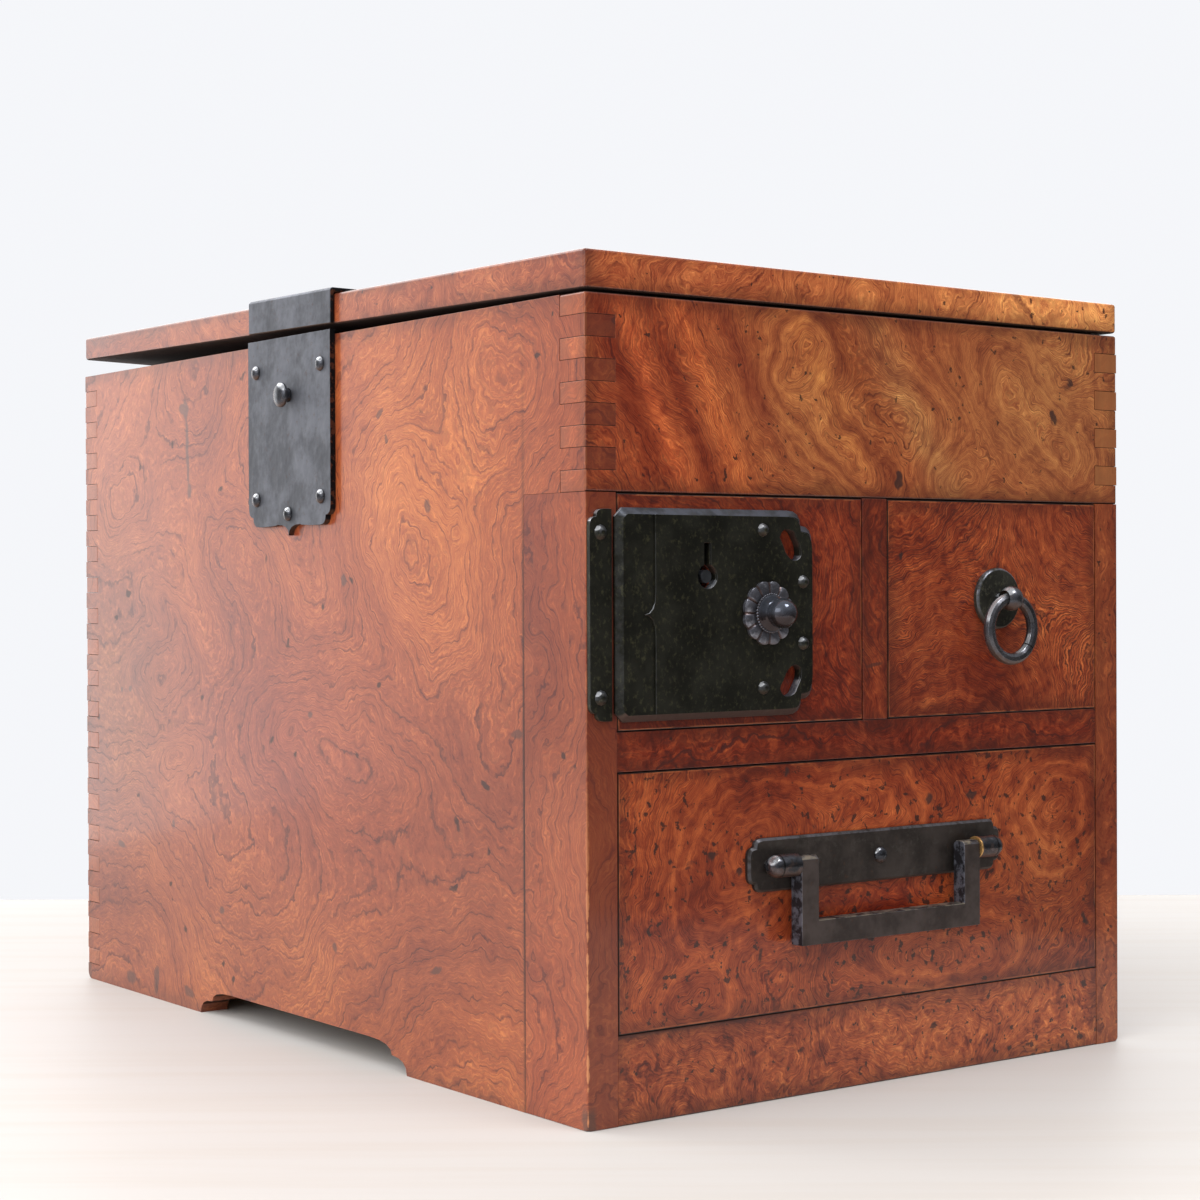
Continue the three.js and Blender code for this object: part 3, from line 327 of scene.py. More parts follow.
def burr(node, start, across=(1, 0, 0), eyes=(), stains_and_shades=(), tints=(), cast=None, tone=0.0,
         rings=60, wild=0.3, lean=(0, 0, 0), lines=0.8, hairs=0.5, mottle=0.3, grain=1.0,
         broad=0.7, bands=0.1, specks=0.15, pepper=0.0, soil=0.5, rim=0.0, end=None, worn=0.0,
         bare_top=True):
    """Burr wood under lacquer, on a board whose face runs level along across. start moves the
    noises, so that no two boards match. Growth lines wind round the eyes; the dark marks are stains,
    and beside the keeper a strip of painted shadow; tints and cast multiply the colour. rings, wild
    and lean say how many lines there are, how they wander and which way they run. end is the axis,
    strength and shade of end grain. Faces that look down are bare, and painted near black as the
    shade on them, and with bare_top those that look up. The rest are strengths."""
    across = Vector(across)
    wood = Finish("burr_" + node)
    place = wood.vector("ADD", wood.place, start)
    swing = wood.vector("SUBTRACT", wood.noise(place, 19, 4, 0.55, output=1), (0.5, 0.5, 0.5))
    jag = wood.noise(place, 240, 3, 0.6)
    width = wood.noise(place, 75, 3, 0.6)
    cloud = wood.noise(place, 7, 2, 0.5)

    # Growth lines, in bundles of uneven strength
    drawn = wood.vector("MULTIPLY_ADD", swing, (0.04,) * 3, wood.place)
    growth = wood.noise(wood.vector("ADD", drawn, start), 12, 1, 0.5) * wild + wood.dot(drawn, lean)
    for centre, radii, height, *tilt in eyes:
        growth = growth + blob(wood, drawn, across, centre, radii, *tilt) * height
    ring = growth * rings + (jag - 0.5) * 0.7
    count = ring.math("FLOOR")
    phase = ring - count
    bundle = wood.drift(count * 0.37 + start[0]).fade(0.36, 0.58)
    band = wood.drift(ring * 0.21 + start[1])
    line = phase.fade(0.74, 0.92) * phase.fade(1.0, 0.94)
    line = line * width.fade(0.32, 0.52) * (0.2 + 0.8 * bundle)

    # Fibres, hairs and pores stream along the lines, and curls lie across them
    patch = wood.noise(drawn, 20, 2, 0.5)
    along = wood.node("CombineXYZ", None, ring, ring, ring)
    fibre = stretched(wood, along, place, 5, 190, 3, 0.65)
    pores = stretched(wood, along, place, 9, 620, 1, 0.5).fade(0.58, 0.72)
    hair = (ring * 2.7 + width * 1.6 + jag * 0.8).math("FRACT")
    hair = hair.fade(0.3, 0.8) * hair.fade(1.0, 0.88) * (patch * 0.4 + fibre).fade(0.62, 0.78)
    curled = wood.vector("MULTIPLY_ADD", swing, (0.03,) * 3, place)
    curl = wood.noise(curled, 150, 3, 0.65, Distortion=0.8)
    hollows = (0.44 - curl).fade(0.0, 0.1)

    light = (patch - 0.5) * 0.8 * broad + (cloud - 0.5) * broad + (band - 0.5) * bands * 4
    light = light + (fibre - 0.5) * grain + (curl - 0.5) * mottle * 4
    light = light - line * 0.1 - bundle * bands * 0.5 + (0.5 + tone)
    wood.tone = wood.node("ValToRGB", {"stops": lacquer}, light)
    if cast:
        wood.over(1.0, cast, "MULTIPLY")
    for centre, radii, tint, *tilt in tints:
        wood.over(blob(wood, wood.place, across, centre, radii, *tilt), tint, "MULTIPLY")
    dark = (line * lines).most(pores * (0.2 + mottle)).most(hair * hairs).most(hollows * mottle)
    wood.over(dark, line_brown)

    # Knots, pepper, stains, and a strip of painted shadow beside the keeper
    cells = wood.node("TexVoronoi", None, drawn, None, 100.0)
    lot = wood.axes(Value(wood, cells.socket.node.outputs["Color"]))[0]
    size = lot.fade(1 - specks, 1.0) * 0.17 + 0.02
    speck = (cells + (curl - 0.5) * 0.5 - size).fade(0.08, -0.04)
    speck = speck * lot.fade(1 - specks - 0.005, 1 - specks)
    wood.over(speck * 0.85, knot_black)
    if pepper:
        grit = wood.noise(place, 310, 2, 0.6) + (cloud - 0.5) * 0.25 + pepper * 0.1
        wood.over(grit.fade(0.71, 0.77) * 0.85, pepper_black)
    if stains_and_shades:
        blotch = (jag - 0.5) * 0.9
        shifted = wood.vector("MULTIPLY_ADD", swing, (0.008,) * 3, wood.place)
        for centre, radii, *tilt in stains_and_shades:
            blotch = blob(wood, shifted, across, centre, radii, *tilt) + blotch
        wood.over(blotch.fade(0.3, 0.7) * 0.7, stain_and_shadow_brown)

    # Grime; round a drawer front a rubbed line, and a black line on the edge painted as the gap's shade
    edge = from_edge(wood, node)
    wood.over((edge - width * 0.012).fade(0.002, -0.006) * soil, grime_red)
    if rim:
        rubbed = (edge + (width - 0.5) * 0.002).fade(0.0010, 0.0006) * width.fade(0.44, 0.58)
        wood.over(rubbed * rim, rubbed_orange)
        # painted shade: the gap round the drawer is drawn black on the front's very edge
        wood.over(edge.fade(0.0005, 0.0002), gap_shade_black)
    if end:
        axis, strength, shade = end
        facing = wood.axes(wood.facing)[axis]
        stripes = wood.noise(wood.vector("MULTIPLY", place, (900, 900, 90)), 1.0, 1, 0.5)
        cut = (facing * facing).fade(0.4, 0.6) * (0.6 + stripes * 0.8)
        wood.over(cut * strength, shade)
    if worn:
        height = wood.axes(wood.place)[2]
        from_corner = gaps_to(wood, *case)
        from_corner = from_corner[0].most(from_corner[1])
        soot = (from_corner + (jag - 0.5) * 0.004).fade(0.0045, 0.0025)
        wood.over(soot * height.fade(0.014, 0.0).fade(0.2, 0.7) * worn * 0.7, soot_brown)
        scuffed = (from_corner + (width - 0.5) * 0.004 + (jag - 0.5) * 0.0022).fade(0.0006, 0.0001)
        wood.over(scuffed * (height.fade(0.13, 0.05) * 0.8 + 0.2) * worn, worn_tan)
    # faces that look up or down are bare, and painted near black as the shade on them
    rises = wood.axes(wood.facing)[2]
    bare = (rises * rises).fade(0.4, 0.6) if bare_top else (rises * -1).fade(0.5, 0.7)
    wood.over(bare * 0.9, bare_and_shade_dark)
    gloss = 0.26 + patch * 0.1 + dark * 0.15 + speck * 0.2 + bare * 0.6
    relief = wood.noise(place, 9, 2) * 2 + wood.noise(place, 330, 2) * 0.12
    return wood.paint(Roughness=gloss, Normal=wood.bump(relief, 0.0004, 0.5),
                      Specular_IOR_Level=0.3, Coat_Weight=0.4 - bare * 0.4, Coat_Roughness=0.1)


def soften(mesh):
    """Shades rounded edges smoothly while the flat faces beside them stay flat."""
    limit = math.cos(math.radians(50))
    mesh.shade_smooth()
    around = [[] for _ in mesh.vertices]
    for face in mesh.polygons:
        for vertex in face.vertices:
            around[vertex].append(face)
    normals = [None] * len(mesh.loops)
    for face in mesh.polygons:
        for corner in face.loop_indices:
            near = [f for f in around[mesh.loops[corner].vertex_index]
                    if f.normal.dot(face.normal) > limit]
            normals[corner] = sum((f.normal * f.area for f in near), Vector()).normalized()
    mesh.normals_split_custom_set(normals)


def add_piece(name, form, body, slot, surface, *nodes):
    """Makes a piece of a form; it moves with a body, and takes the place of any nodes named."""
    mesh = bpy.data.meshes.new(name)
    form.to_mesh(mesh)
    form.free()
    soften(mesh)
    mesh.materials.append(surface)
    piece = add_object(name, mesh)
    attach(piece, body)
    if nodes:
        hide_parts(*nodes)


def worn_copy(node, body, slot, surface, rounding, corners=None, foot=0.0):
    """A copy of a node with its edges eased, more so along the box of corners. foot is how far the
    front corners are stubbed where they stand on the table."""
    near = 0.2 * MM
    corner_easing = 3.2 * rounding
    flat_turn = math.radians(0.4)
    sharp_turn = math.radians(35)
    form = bmesh.new()
    form.from_mesh(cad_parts[node].data)
    bmesh.ops.remove_doubles(form, verts=form.verts, dist=1e-5)
    bmesh.ops.dissolve_limit(form, angle_limit=flat_turn, verts=form.verts, edges=form.edges)

    def at_side(point, i):
        return min(abs(point[i] - corners[0][i]), abs(point[i] - corners[1][i])) < near

    def outer(edge):
        return sum(all(at_side(v.co, i) for v in edge.verts) for i in range(3)) >= 2

    def sharp(edge):
        return edge.is_manifold and edge.calc_face_angle() > sharp_turn

    if foot:
        ease(form, [v for v in form.verts if v.co.z < near and v.co.y < corners[0].y + near
                    and at_side(v.co, 0)], foot, 3, "VERTICES")
    outer_edges = [e for e in form.edges if sharp(e) and outer(e)] if corners else []
    if outer_edges:
        ease(form, outer_edges, corner_easing, 3)
    ease(form, [e for e in form.edges if sharp(e)], rounding, 2)
    add_piece("worn_" + node, form, body, slot, surface, node)


left_eyes = [
    (on_side(82, 150), (26, 14), 0.20), (on_side(88, 176), (24, 12), 0.14, -25),
    (on_side(97, 113), (22, 11), 0.18), (on_side(157, 197), (46, 26), 0.25, -30),
    (on_side(40, 230), (40, 24), 0.22), (on_side(233, 123), (82, 36), 0.42, -8),
    (on_side(200, 127), (12, 7), 0.08, 20), (on_side(30, -20), (125, 120), 0.80),
    (on_side(333, -20), (150, 110), 0.95, 12), (on_side(300, 203), (70, 40), 0.60, -45),
    (on_side(360, 270), (60, 50), 0.50, -40), (on_side(326, 218), (5, 8), 0.10),
    (on_side(403, 130), (30, 40), 0.30), (on_side(117, 283), (60, 40), 0.30, 20),
]
left_marks = [
    (on_side(107, 250), (1.6, 20), 4), (on_side(104, 268), (5, 2.5)), (on_side(110, 231), (2, 3)),
    (on_side(48, 6), (6, 3)), (on_side(74, 8), (3, 8)), (on_side(108, 9), (6, 2.5), -12),
    (on_side(273, 256), (4, 1.8), 30), (on_side(308, 220), (2.4, 3.2), 20),
    (on_side(278, 245), (1.5, 3), 15), (on_side(392, 176), (2.6, 3)), (on_side(38, 68), (5, 1.8)),
    (on_side(92, 82), (1.5, 1.8)), (on_side(140, 48), (2.5, 2)), (on_side(218, 136), (2, 1.6)),
    (on_side(49, 141), (1.8, 1.6)), (on_side(40, 141), (1.4, 1.4)), (on_side(246, 190), (2.5, 3)),
    (on_side(236, 42), (1.8, 2)), (on_side(313, 43), (5, 1.6), 15), (on_side(368, 135), (5, 2), 8),
]
left_tints = [
    (on_side(372, 104), (0.9, 130), (0.05, 0.04, 0.04)),
    (on_side(310, 230), (62, 45), (1.3, 1.5, 1.15), -40),
    (on_side(190, 120), (95, 50), (0.76, 0.62, 0.76), -20),
    (on_side(230, 20), (190, 45), (1.12, 1.2, 0.95)),
    # painted sheen: a cooler tint at the rear for the bluish reflection on the lacquer
    (on_side(25, 140), (60, 70), (0.74, 0.88, 1.0)),
    (on_side(345, 100), (50, 55), (0.84, 0.82, 0.88)),
]
board_easing = 0.3 * MM
left_surface = burr("left_side_board", (3.1, 0.4, 7.7), (0, -1, 0), left_eyes, left_marks,
                    left_tints, rings=36, wild=0.15, lines=0.55, hairs=0.34, mottle=0.07, grain=0.9,
                    broad=0.45, bands=0.08, specks=0.12, soil=0.35, end=(1, 0.45, end_brown),
                    worn=0.8)
worn_copy("left_side_board", "carcass", "burr_wood", left_surface, board_easing, case)


# The rest of the case: apron, posts, rails, divider, right side and back, of the same burr wood. The
# apron is streaked at its left and paler at its right; the front posts' feet are stubbed by wear.
def on_front(side, height):
    """A place on the front, in millimetres from its lower left corner."""
    return (left_x + side, front_y, height)


pale_end = (0.27, 0.08, 0.033)
foot_wear = 2.8 * MM
apron_eyes = [
    (on_front(90, 261), (12, 9), 0.12, -30), (on_front(100, 274), (22, 14), 0.2, -30),
    (on_front(118, 237), (30, 14), 0.2, -40), (on_front(182, 231), (14, 12), 0.30),
    (on_front(203, 267), (36, 20), 0.45, -30), (on_front(243, 241), (30, 20), 0.35, 10),
]
apron_tints = [
    (on_front(30, 255), (60, 90), (1.05, 0.86, 0.86)),
    (on_front(157, 250), (8, 60), (1.1, 1.45, 1.5), 33),
    (on_front(240, 262), (70, 60), (1.15, 1.6, 1.6)),
    (on_front(16, 262), (6, 60), (0.6, 0.45, 0.5), 24),
    (on_front(43, 255), (5, 60), (0.6, 0.45, 0.5), 25),
    (on_front(29, 255), (4, 60), (1.4, 1.4, 1.3), 24),
    (on_front(56, 255), (4, 60), (1.35, 1.35, 1.2), 26),
    (on_front(98, 250), (30, 55), (1.15, 1.5, 1.45), 30),
    (on_front(74, 262), (6, 40), (0.65, 0.5, 0.6), 30),
    (on_front(110, 265), (5, 40), (1.25, 1.35, 1.2), 33),
    (on_front(124, 270), (6, 40), (0.7, 0.6, 0.6), 33),
    # painted shade: a thin dark line along the apron's lower edge, over the right drawer's gap
    (on_front(205, 221), (75, 0.7), (0.1, 0.08, 0.08)),
]
post_tints = [
    (on_front(0, 140), (40, 55), (0.78, 0.74, 0.8)), (on_front(0, 20), (40, 30), (1.15, 1.15, 1.1)),
]
carcass_boards = {
    "right_side_board": dict(
        start=(8.3, 2.2, 1.7), across=(0, -1, 0), eyes=left_eyes, rings=36, wild=0.35, lines=0.55,
        hairs=0.34, mottle=0.08, grain=0.9, broad=0.4, bands=0.08, specks=0.1, soil=0.35,
        end=(1, 0.7, (0.27, 0.105, 0.038))),
    "back_board": dict(
        start=(1.3, 5.2, 4.7), tone=-0.02, rings=40, wild=0.6, mottle=0.1, specks=0.06, soil=0.25,
        end=(0, 0.45, pale_end)),
    "left_front_post": dict(
        # painted shadow: a dark strip on the post's edge beside the keeper
        start=(4.4, 9.1, 2.2), stains_and_shades=[(on_front(12.2, 178), (1.0, 44))], tints=post_tints,
        tone=-0.01, wild=0.3, lean=(3, 3, 0), lines=0.5, hairs=0.3, mottle=0.06, grain=0.8,
        broad=0.4, soil=0.1, end=(1, 0.45, end_brown), worn=1.0),
    "right_front_post": dict(
        start=(6.4, 1.1, 5.2), tone=-0.02, rings=45, wild=0.3, lean=(3, 3, 0), lines=0.55,
        hairs=0.35, mottle=0.1, broad=0.5, pepper=0.5, soil=0.3),
    "mid_rail": dict(
        start=(2.4, 3.3, 9.9), cast=(1.05, 0.8, 0.72), tone=-0.2, lean=(0, 0, 4), broad=0.4,
        pepper=0.3),
    "bottom_rail": dict(
        # the thin dark line along the rail's top edge is painted shade of the gap under the lower
        # drawer
        start=(5.5, 5.1, 3.8), tints=[(on_front(40, 31.8), (90, 1.5), (0.06, 0.05, 0.05), 0.4)],
        cast=(1.06, 0.95, 0.9), tone=0.1, rings=70, wild=0.7, lines=0.55, hairs=0.35, grain=1.4,
        specks=0.2, pepper=0.85),
    "divider_panel": dict(
        start=(7.7, 8.2, 0.6), stains_and_shades=[(on_front(134.6, 158), (5, 0.9), 8)], cast=(1.05, 0.85, 0.8),
        tone=-0.15, lean=(5, 0, 0), mottle=0.25, broad=0.4),
    "front_apron": dict(
        start=(0.7, 6.1, 6.6), eyes=apron_eyes, tints=apron_tints, tone=0.04, rings=85, wild=0.2,
        lean=(2.6, 0, 1.1), lines=0.6, mottle=0.15, grain=1.3, broad=0.4, specks=0.02, pepper=0.1,
        end=(0, 0.4, pale_end), worn=0.8),
}
for node, figure in carcass_boards.items():
    foot = foot_wear if node.endswith("front_post") else 0.0
    worn_copy(node, "carcass", "burr_wood", burr(node, **figure), board_easing, case, foot)

# Lid: one warped board of the same wood, lifting off the case towards the rear left. Its edges are
# the most worn; its front edge is paler at the right, and its underside is bare and painted near
# black as the shade under it.
lid_easing = 1.2 * MM
lid_tints = [
    (on_front(0, 300), (7, 300), (0.72, 0.78, 0.95)),
    (on_front(285, 300), (130, 300, 13), (1.9, 3.1, 3.1)),
    (on_front(35, 300), (60, 300, 13), (1.2, 1.35, 1.45)),
]
lid_surface = burr("lid_board", (9.2, 4.4, 3.3), tints=lid_tints, cast=(1.06, 0.92, 0.9), tone=0.15,
                   rings=90, wild=0.5, lines=0.4, hairs=0.3, mottle=0.12, grain=1.2, broad=0.5,
                   specks=0.03, pepper=0.3, bare_top=False)
worn_copy("lid_board", "lid", "burr_wood", lid_surface, lid_easing)

# Drawer fronts: burr boards in the same lacquer, each with its edges rubbed and the gap's shade
# painted black round it. The wood by the ring and inside the handle is painted darker, for the grime
# of hands and for the shade that the iron casts.
front_easing = 0.5 * MM
right_eyes = [(on_front(167, 117), (60, 55), 1.0, 20), (on_front(267, 217), (50, 40), 0.7)]
lower_eyes = [
    (on_front(70, 91), (34, 24), 0.75, 25), (on_front(133, 104), (40, 20), 0.3),
    (on_front(233, 91), (30, 24), 0.4), (on_front(173, 47), (50, 20), 0.4),
    (on_front(50, 41), (26, 16), 0.3),
]
lower_tints = [
    (on_front(235, 60), (45, 50), (0.78, 0.84, 0.86)),
    # painted shade and grime of hands inside the handle's opening
    (on_front(140, 64), (42, 14), (0.7, 0.42, 0.4)),
]
drawer_fronts = {
    "left_drawer": dict(
        # painted shadow: a dark strip on the drawer's edge beside the keeper
        start=(4.1, 2.9, 8.8), stains_and_shades=[(on_front(13.2, 178), (1.0, 44))], cast=(1.05, 0.8, 0.75),
        tone=-0.17, lean=(3.0, 0, 1.0), mottle=0.28, broad=0.5, rim=0.5),
    "right_drawer": dict(
        start=(6.6, 3.7, 2.9), eyes=right_eyes, cast=(1.08, 0.92, 0.85),
        # painted shade and grime of hands round the ring
        tints=[(on_front(194, 157), (20, 22), (0.7, 0.5, 0.5))], wild=0.12, hairs=0.9, mottle=0.22,
        grain=1.6, broad=0.7, specks=0.06, rim=0.5),
    "lower_drawer": dict(
        start=(2.8, 7.7, 5.1), eyes=lower_eyes, tints=lower_tints, cast=(1.06, 0.86, 0.78),
        tone=-0.02, rings=80, lines=0.75, hairs=0.5, mottle=0.2, grain=1.4, broad=0.9, specks=0.2,
        pepper=0.8, rim=0.5),
}
for drawer, figure in drawer_fronts.items():
    node = drawer + "_front"
    worn_copy(node, drawer, "burr_wood", burr(node, **figure), front_easing)


# Inner boards: drawer boxes, shelves and floor, of bare pale wood, planed, straight in the grain
# along their length, and greyed and stained by handling.
def pale_board(node, along):
    wood = Finish("pale_" + node)
    place = wood.vector("MULTIPLY", wood.place, tuple(9 if i == along else 230 for i in range(3)))
    grain = wood.noise(place, 1.0, 3.0, 0.6)
    fine = wood.noise(wood.vector("MULTIPLY", place, (3, 3, 3)), 1.0, 2.0, 0.6)
    blotch = wood.noise(wood.place, 12, 3, 0.6).fade(0.4, 0.75)
    wood.tone = colour(0.50, 0.32, 0.17)
    wood.over(grain.fade(0.3, 0.75), (0.34, 0.19, 0.09))
    wood.over(fine.fade(0.55, 0.8) * 0.4, (0.24, 0.13, 0.07))
    wood.over(blotch * 0.45, (0.26, 0.18, 0.12))
    edge = from_edge(wood, node)
    wood.over((edge - blotch * 0.006).fade(0.008, -0.004) * 0.5, (0.16, 0.09, 0.05))
    return wood.paint(Roughness=0.6 + grain * 0.2, Normal=wood.bump(grain + fine * 0.5, 0.0003, 0.6))


pale_boards = {"compartment_floor": 0, "middle_shelf": 0, "bottom_board": 0}
for drawer in drawer_fronts:
    pale_boards[drawer + "_left_wall"] = pale_boards[drawer + "_right_wall"] = 1
    pale_boards[drawer + "_bottom"] = 1
    pale_boards[drawer + "_back"] = 0
for node, along in pale_boards.items():
    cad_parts[node].material_slots[0].material = pale_board(node, along)


# Plate and strap of the catch: hammered grey sheet, nailed to the left side and bent over the lid's
# edge. The sheet's front edges are black, flecked with brown, and its foot is brown.
def black_iron(name, base=(0.028, 0.03, 0.034), rub=(0.16, 0.17, 0.20), scratch=(300, 300, 300),
               gloss=0.36, hammered=1.0, rust=0.35, bare=0.35, glint=0.0, mottle=0.5, flecks=0.4,
               more=None):
    """Forged iron, blackened and waxed: bare and bluish where an edge is rubbed, and lighter on edges
    that face up as a painted highlight; brown on what faces down, for settled dust and rust and as
    painted light bounced up from below. rub is the shade of its fine scratches, which run finest
    across the axis with the largest scale; more lays further shades over the rest."""
    iron = Finish(name)
    scale = iron.noise(iron.place, 60, 4, 0.65)
    speckle = iron.noise(iron.place, 420, 3, 0.7)
    brushed = iron.noise(iron.vector("MULTIPLY", iron.place, scratch), 1.0, 4.0, 0.7)
    beaten = iron.noise(iron.place, 120, 2, 0.5)
    nx, ny, nz = iron.axes(iron.facing)
    square = (nx * nx).most(ny * ny).most(nz * nz)
    # rubbed edges: bare metal from wear, and lighter on what faces up as a painted highlight
    rubbed = square.fade(0.97, 0.8) * (scale + speckle).fade(0.75, 1.15) * nz.fade(-0.6, 0.5) * bare
    # what faces down: brown of dust and rust, and painted light bounced up from below
    dust_rust_and_bounce = (speckle * 0.6 + scale * 0.6 - nz).fade(0.8, 1.5) * rust
    iron.tone = colour(*base)
    iron.over(scale.fade(0.36, 0.66) * 0.8, [2.1 * level for level in base])
    iron.over(brushed.fade(0.50, 0.75) * mottle, rub)
    iron.over(speckle.fade(0.60, 0.74) * flecks, (0.10, 0.05, 0.028))
    iron.over(rubbed, (0.24, 0.25, 0.30))
    iron.over((nz - nx - ny * 0.5).fade(1.25, 1.34) * glint, (0.8, 0.82, 0.86))
    iron.over(dust_rust_and_bounce, (0.12, 0.07, 0.05))
    if more:
        more(iron)
    rough = gloss + scale * 0.18 + speckle * 0.12 - brushed * 0.1 - rubbed * 0.2 + dust_rust_and_bounce * 0.2
    skin = iron.bump(beaten * hammered + speckle * 0.3 + brushed * 0.15, 0.0004, 0.5)
    return iron.paint(Roughness=rough, Metallic=0.75, Normal=skin)


def side_edges(iron):
    nx, ny, nz = iron.axes(iron.facing)
    flecks = iron.noise(iron.place, 330, 3, 0.7).fade(0.5, 0.62)
    rim = iron.mix(flecks * 0.7, colour(0.008, 0.008, 0.010), colour(0.15, 0.055, 0.03))
    iron.over((ny * -1).fade(0.6, 0.85), rim)
    iron.over((nz * -1).fade(0.3, 0.6), (0.09, 0.05, 0.032))


side_easing = 0.5 * MM
side_grey = dict(base=(0.075, 0.078, 0.09), rub=(0.16, 0.16, 0.18), scratch=(400, 320, 90),
                 gloss=0.46, hammered=2.6, mottle=0.25, more=side_edges)
for node, body in (("catch_plate", "carcass"), ("lid_strap", "lid")):
    worn_copy(node, body, "black_iron", black_iron("iron_" + node, **side_grey), side_easing)

# Hinges on the right side, and what is hidden inside: the catch's latch, the lid's tongue and the
# lock case. All are plain blackened iron.
hinge_easing = 0.3 * MM
for node, body in (("front_hinge_body_leaf", "carcass"), ("rear_hinge_body_leaf", "carcass"),
                   ("front_hinge_lid_leaf", "lid"), ("rear_hinge_lid_leaf", "lid")):
    worn_copy(node, body, "black_iron", black_iron("iron_" + node), hinge_easing)
for node in ("catch_latch", "lid_tongue", "lock_case"):
    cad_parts[node].material_slots[0].material = black_iron("iron_" + node)


# Lock plate, the thin sheet over it, and the keeper on the post: waxed olive black. The lock plate's
# sloping border is painted bluish above and at the right, as a highlight on worn metal, and brown
# below, for dust and as painted bounce light.
def bevelled(iron):
    nx, ny, nz = iron.axes(iron.facing)
    worn = iron.noise(iron.place, 140, 3, 0.65).fade(0.35, 0.6)
    # painted highlight on the border's faces that look up or right, broken up by noise
    iron.over(nz.most(nx).fade(0.15, 0.4) * (0.4 + worn * 0.6), (0.11, 0.12, 0.15))
    # brown below: dust, and painted bounce light from beneath
    iron.over((nz * -1).fade(0.15, 0.4) * 0.8, (0.09, 0.052, 0.043))


plate_black = dict(base=(0.016, 0.016, 0.012), rub=(0.092, 0.088, 0.048), scratch=(520, 520, 400),
                   rust=0.5, mottle=0.75, flecks=0.15)
lock_irons = (
    ("keeper_plate", "carcass", 0.4 * MM, dict(plate_black, bare=0.4, glint=0.5)),
    ("lock_plate", "left_drawer", 0.25 * MM, dict(plate_black, bare=0.12, glint=0.9, more=bevelled)),
    ("lock_overlay", "left_drawer", 0.2 * MM, dict(plate_black, bare=0.35, glint=0.5)),
)
for node, body, easing, look in lock_irons:
    worn_copy(node, body, "black_iron", black_iron("iron_" + node, **look), easing)


# Handle: a plate with a square bail, both browner than the lock. The bail's sides are bare and
# mottled bluish, and what faces up on it is painted golden, as rubbed wear and as a highlight.
def handled(iron):
    nx, ny, nz = iron.axes(iron.facing)
    clouds = iron.noise(iron.place, 300, 3, 0.65).fade(0.42, 0.6)
    side = iron.mix(clouds, colour(0.018, 0.018, 0.024), colour(0.16, 0.17, 0.21))
    iron.over((ny * ny).fade(0.6, 0.3) * 0.85, side)
    # what faces up: golden wear and a painted highlight
    iron.over(nz.fade(0.3, 0.6) * clouds * 0.6, (0.36, 0.30, 0.20))


handle_irons = (
    ("handle_plate", "lower_drawer", 0.3 * MM,
     dict(base=(0.038, 0.031, 0.028), rub=(0.10, 0.09, 0.08), bare=0.4)),
    ("bail", "bail", 0.4 * MM,
     dict(base=(0.052, 0.041, 0.038), rub=(0.10, 0.08, 0.075), gloss=0.42, mottle=0.3, more=handled)),
)
for node, body, easing, look in handle_irons:
    worn_copy(node, body, "black_iron", black_iron("iron_" + node, **look), easing)

# Nail heads, hinge pins, push button, bolt and eye: small forged pieces, rubbed bluish above with a
# painted highlight there, and brown below from dust and rust and painted bounce light.
small_easing = 0.2 * MM
# rubbed, with a painted highlight: a glint and lighter edges on what faces up
rubbed_glinting_iron = dict(base=(0.03, 0.031, 0.036), rub=(0.22, 0.24, 0.29), gloss=0.15, hammered=0.7,
                   rust=0.9, bare=0.3, glint=0.5)
small_irons = {
    "carcass": ["catch_nail_1", "catch_nail_2", "catch_nail_3", "catch_nail_4", "catch_nail_5",
                "front_hinge_pin", "rear_hinge_pin"],
    "catch": ["catch_button"],
    "bolt": ["lock_bolt"],
    "right_drawer": ["ring_eye"],
    "lower_drawer": ["handle_nail"],
}
for body, nodes in small_irons.items():
    for node in nodes:
        surface = black_iron("bright_" + node, **rubbed_glinting_iron)
        worn_copy(node, body, "worn_iron", surface, small_easing)

# Barrel heads of the handle: domed barrels that hold the bail's pins, with a groove cut round each
# near its dome, and at the right a gilt rim where the bail rubs.
head_easing = 0.3 * MM
handle_x = (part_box("left_handle_head")[0].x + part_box("right_handle_head")[1].x) / 2
groove_out = 54.6 * MM
rim_out = 46.1 * MM
groove_dark = (0.006, 0.005, 0.005)
gilt = (0.55, 0.32, 0.12)


def grooved_head(iron):
    x, y, z = iron.axes(iron.place)
    out = (x - handle_x).math("ABSOLUTE")
    groove = (out - groove_out).math("ABSOLUTE").fade(0.0005, 0.0002)
    blotch = iron.noise(iron.place, 300, 3, 0.6).fade(0.48, 0.6)
    iron.over(blotch * 0.5, (0.09, 0.05, 0.035))
    iron.over(groove * 0.8, groove_dark)
    iron.over((out - rim_out).fade(0.0005, 0.0) * (x - handle_x).fade(-0.001, 0.001), gilt)


for node in ("left_handle_head", "right_handle_head"):
    surface = black_iron("bright_" + node, more=grooved_head, **rubbed_glinting_iron)
    worn_copy(node, "lower_drawer", "worn_iron", surface, head_easing)


# Rosette: twelve fluted petals of beaten iron, riveted on round the knob's foot, with brown settled
# between them. It is turned from its outline, then domed, fluted and notched between the petals.
def turn_about(points, centre, steps):
    """Turns an outline of radii and depths about an axis that runs towards the front."""
    made = bmesh.new()
    line = [made.verts.new((centre.x + radius, depth, centre.z)) for radius, depth in points]
    edges = [made.edges.new(pair) for pair in zip(line, line[1:])]
    bmesh.ops.spin(made, geom=line + edges, cent=(centre.x, 0, centre.z), axis=(0, 1, 0),
                   dvec=(0, 0, 0), angle=2 * math.pi, steps=steps, use_merge=True)
    bmesh.ops.remove_doubles(made, verts=made.verts, dist=1e-6)
    bmesh.ops.holes_fill(made, edges=made.edges, sides=0)
    bmesh.ops.recalc_face_normals(made, faces=made.faces)
    return made


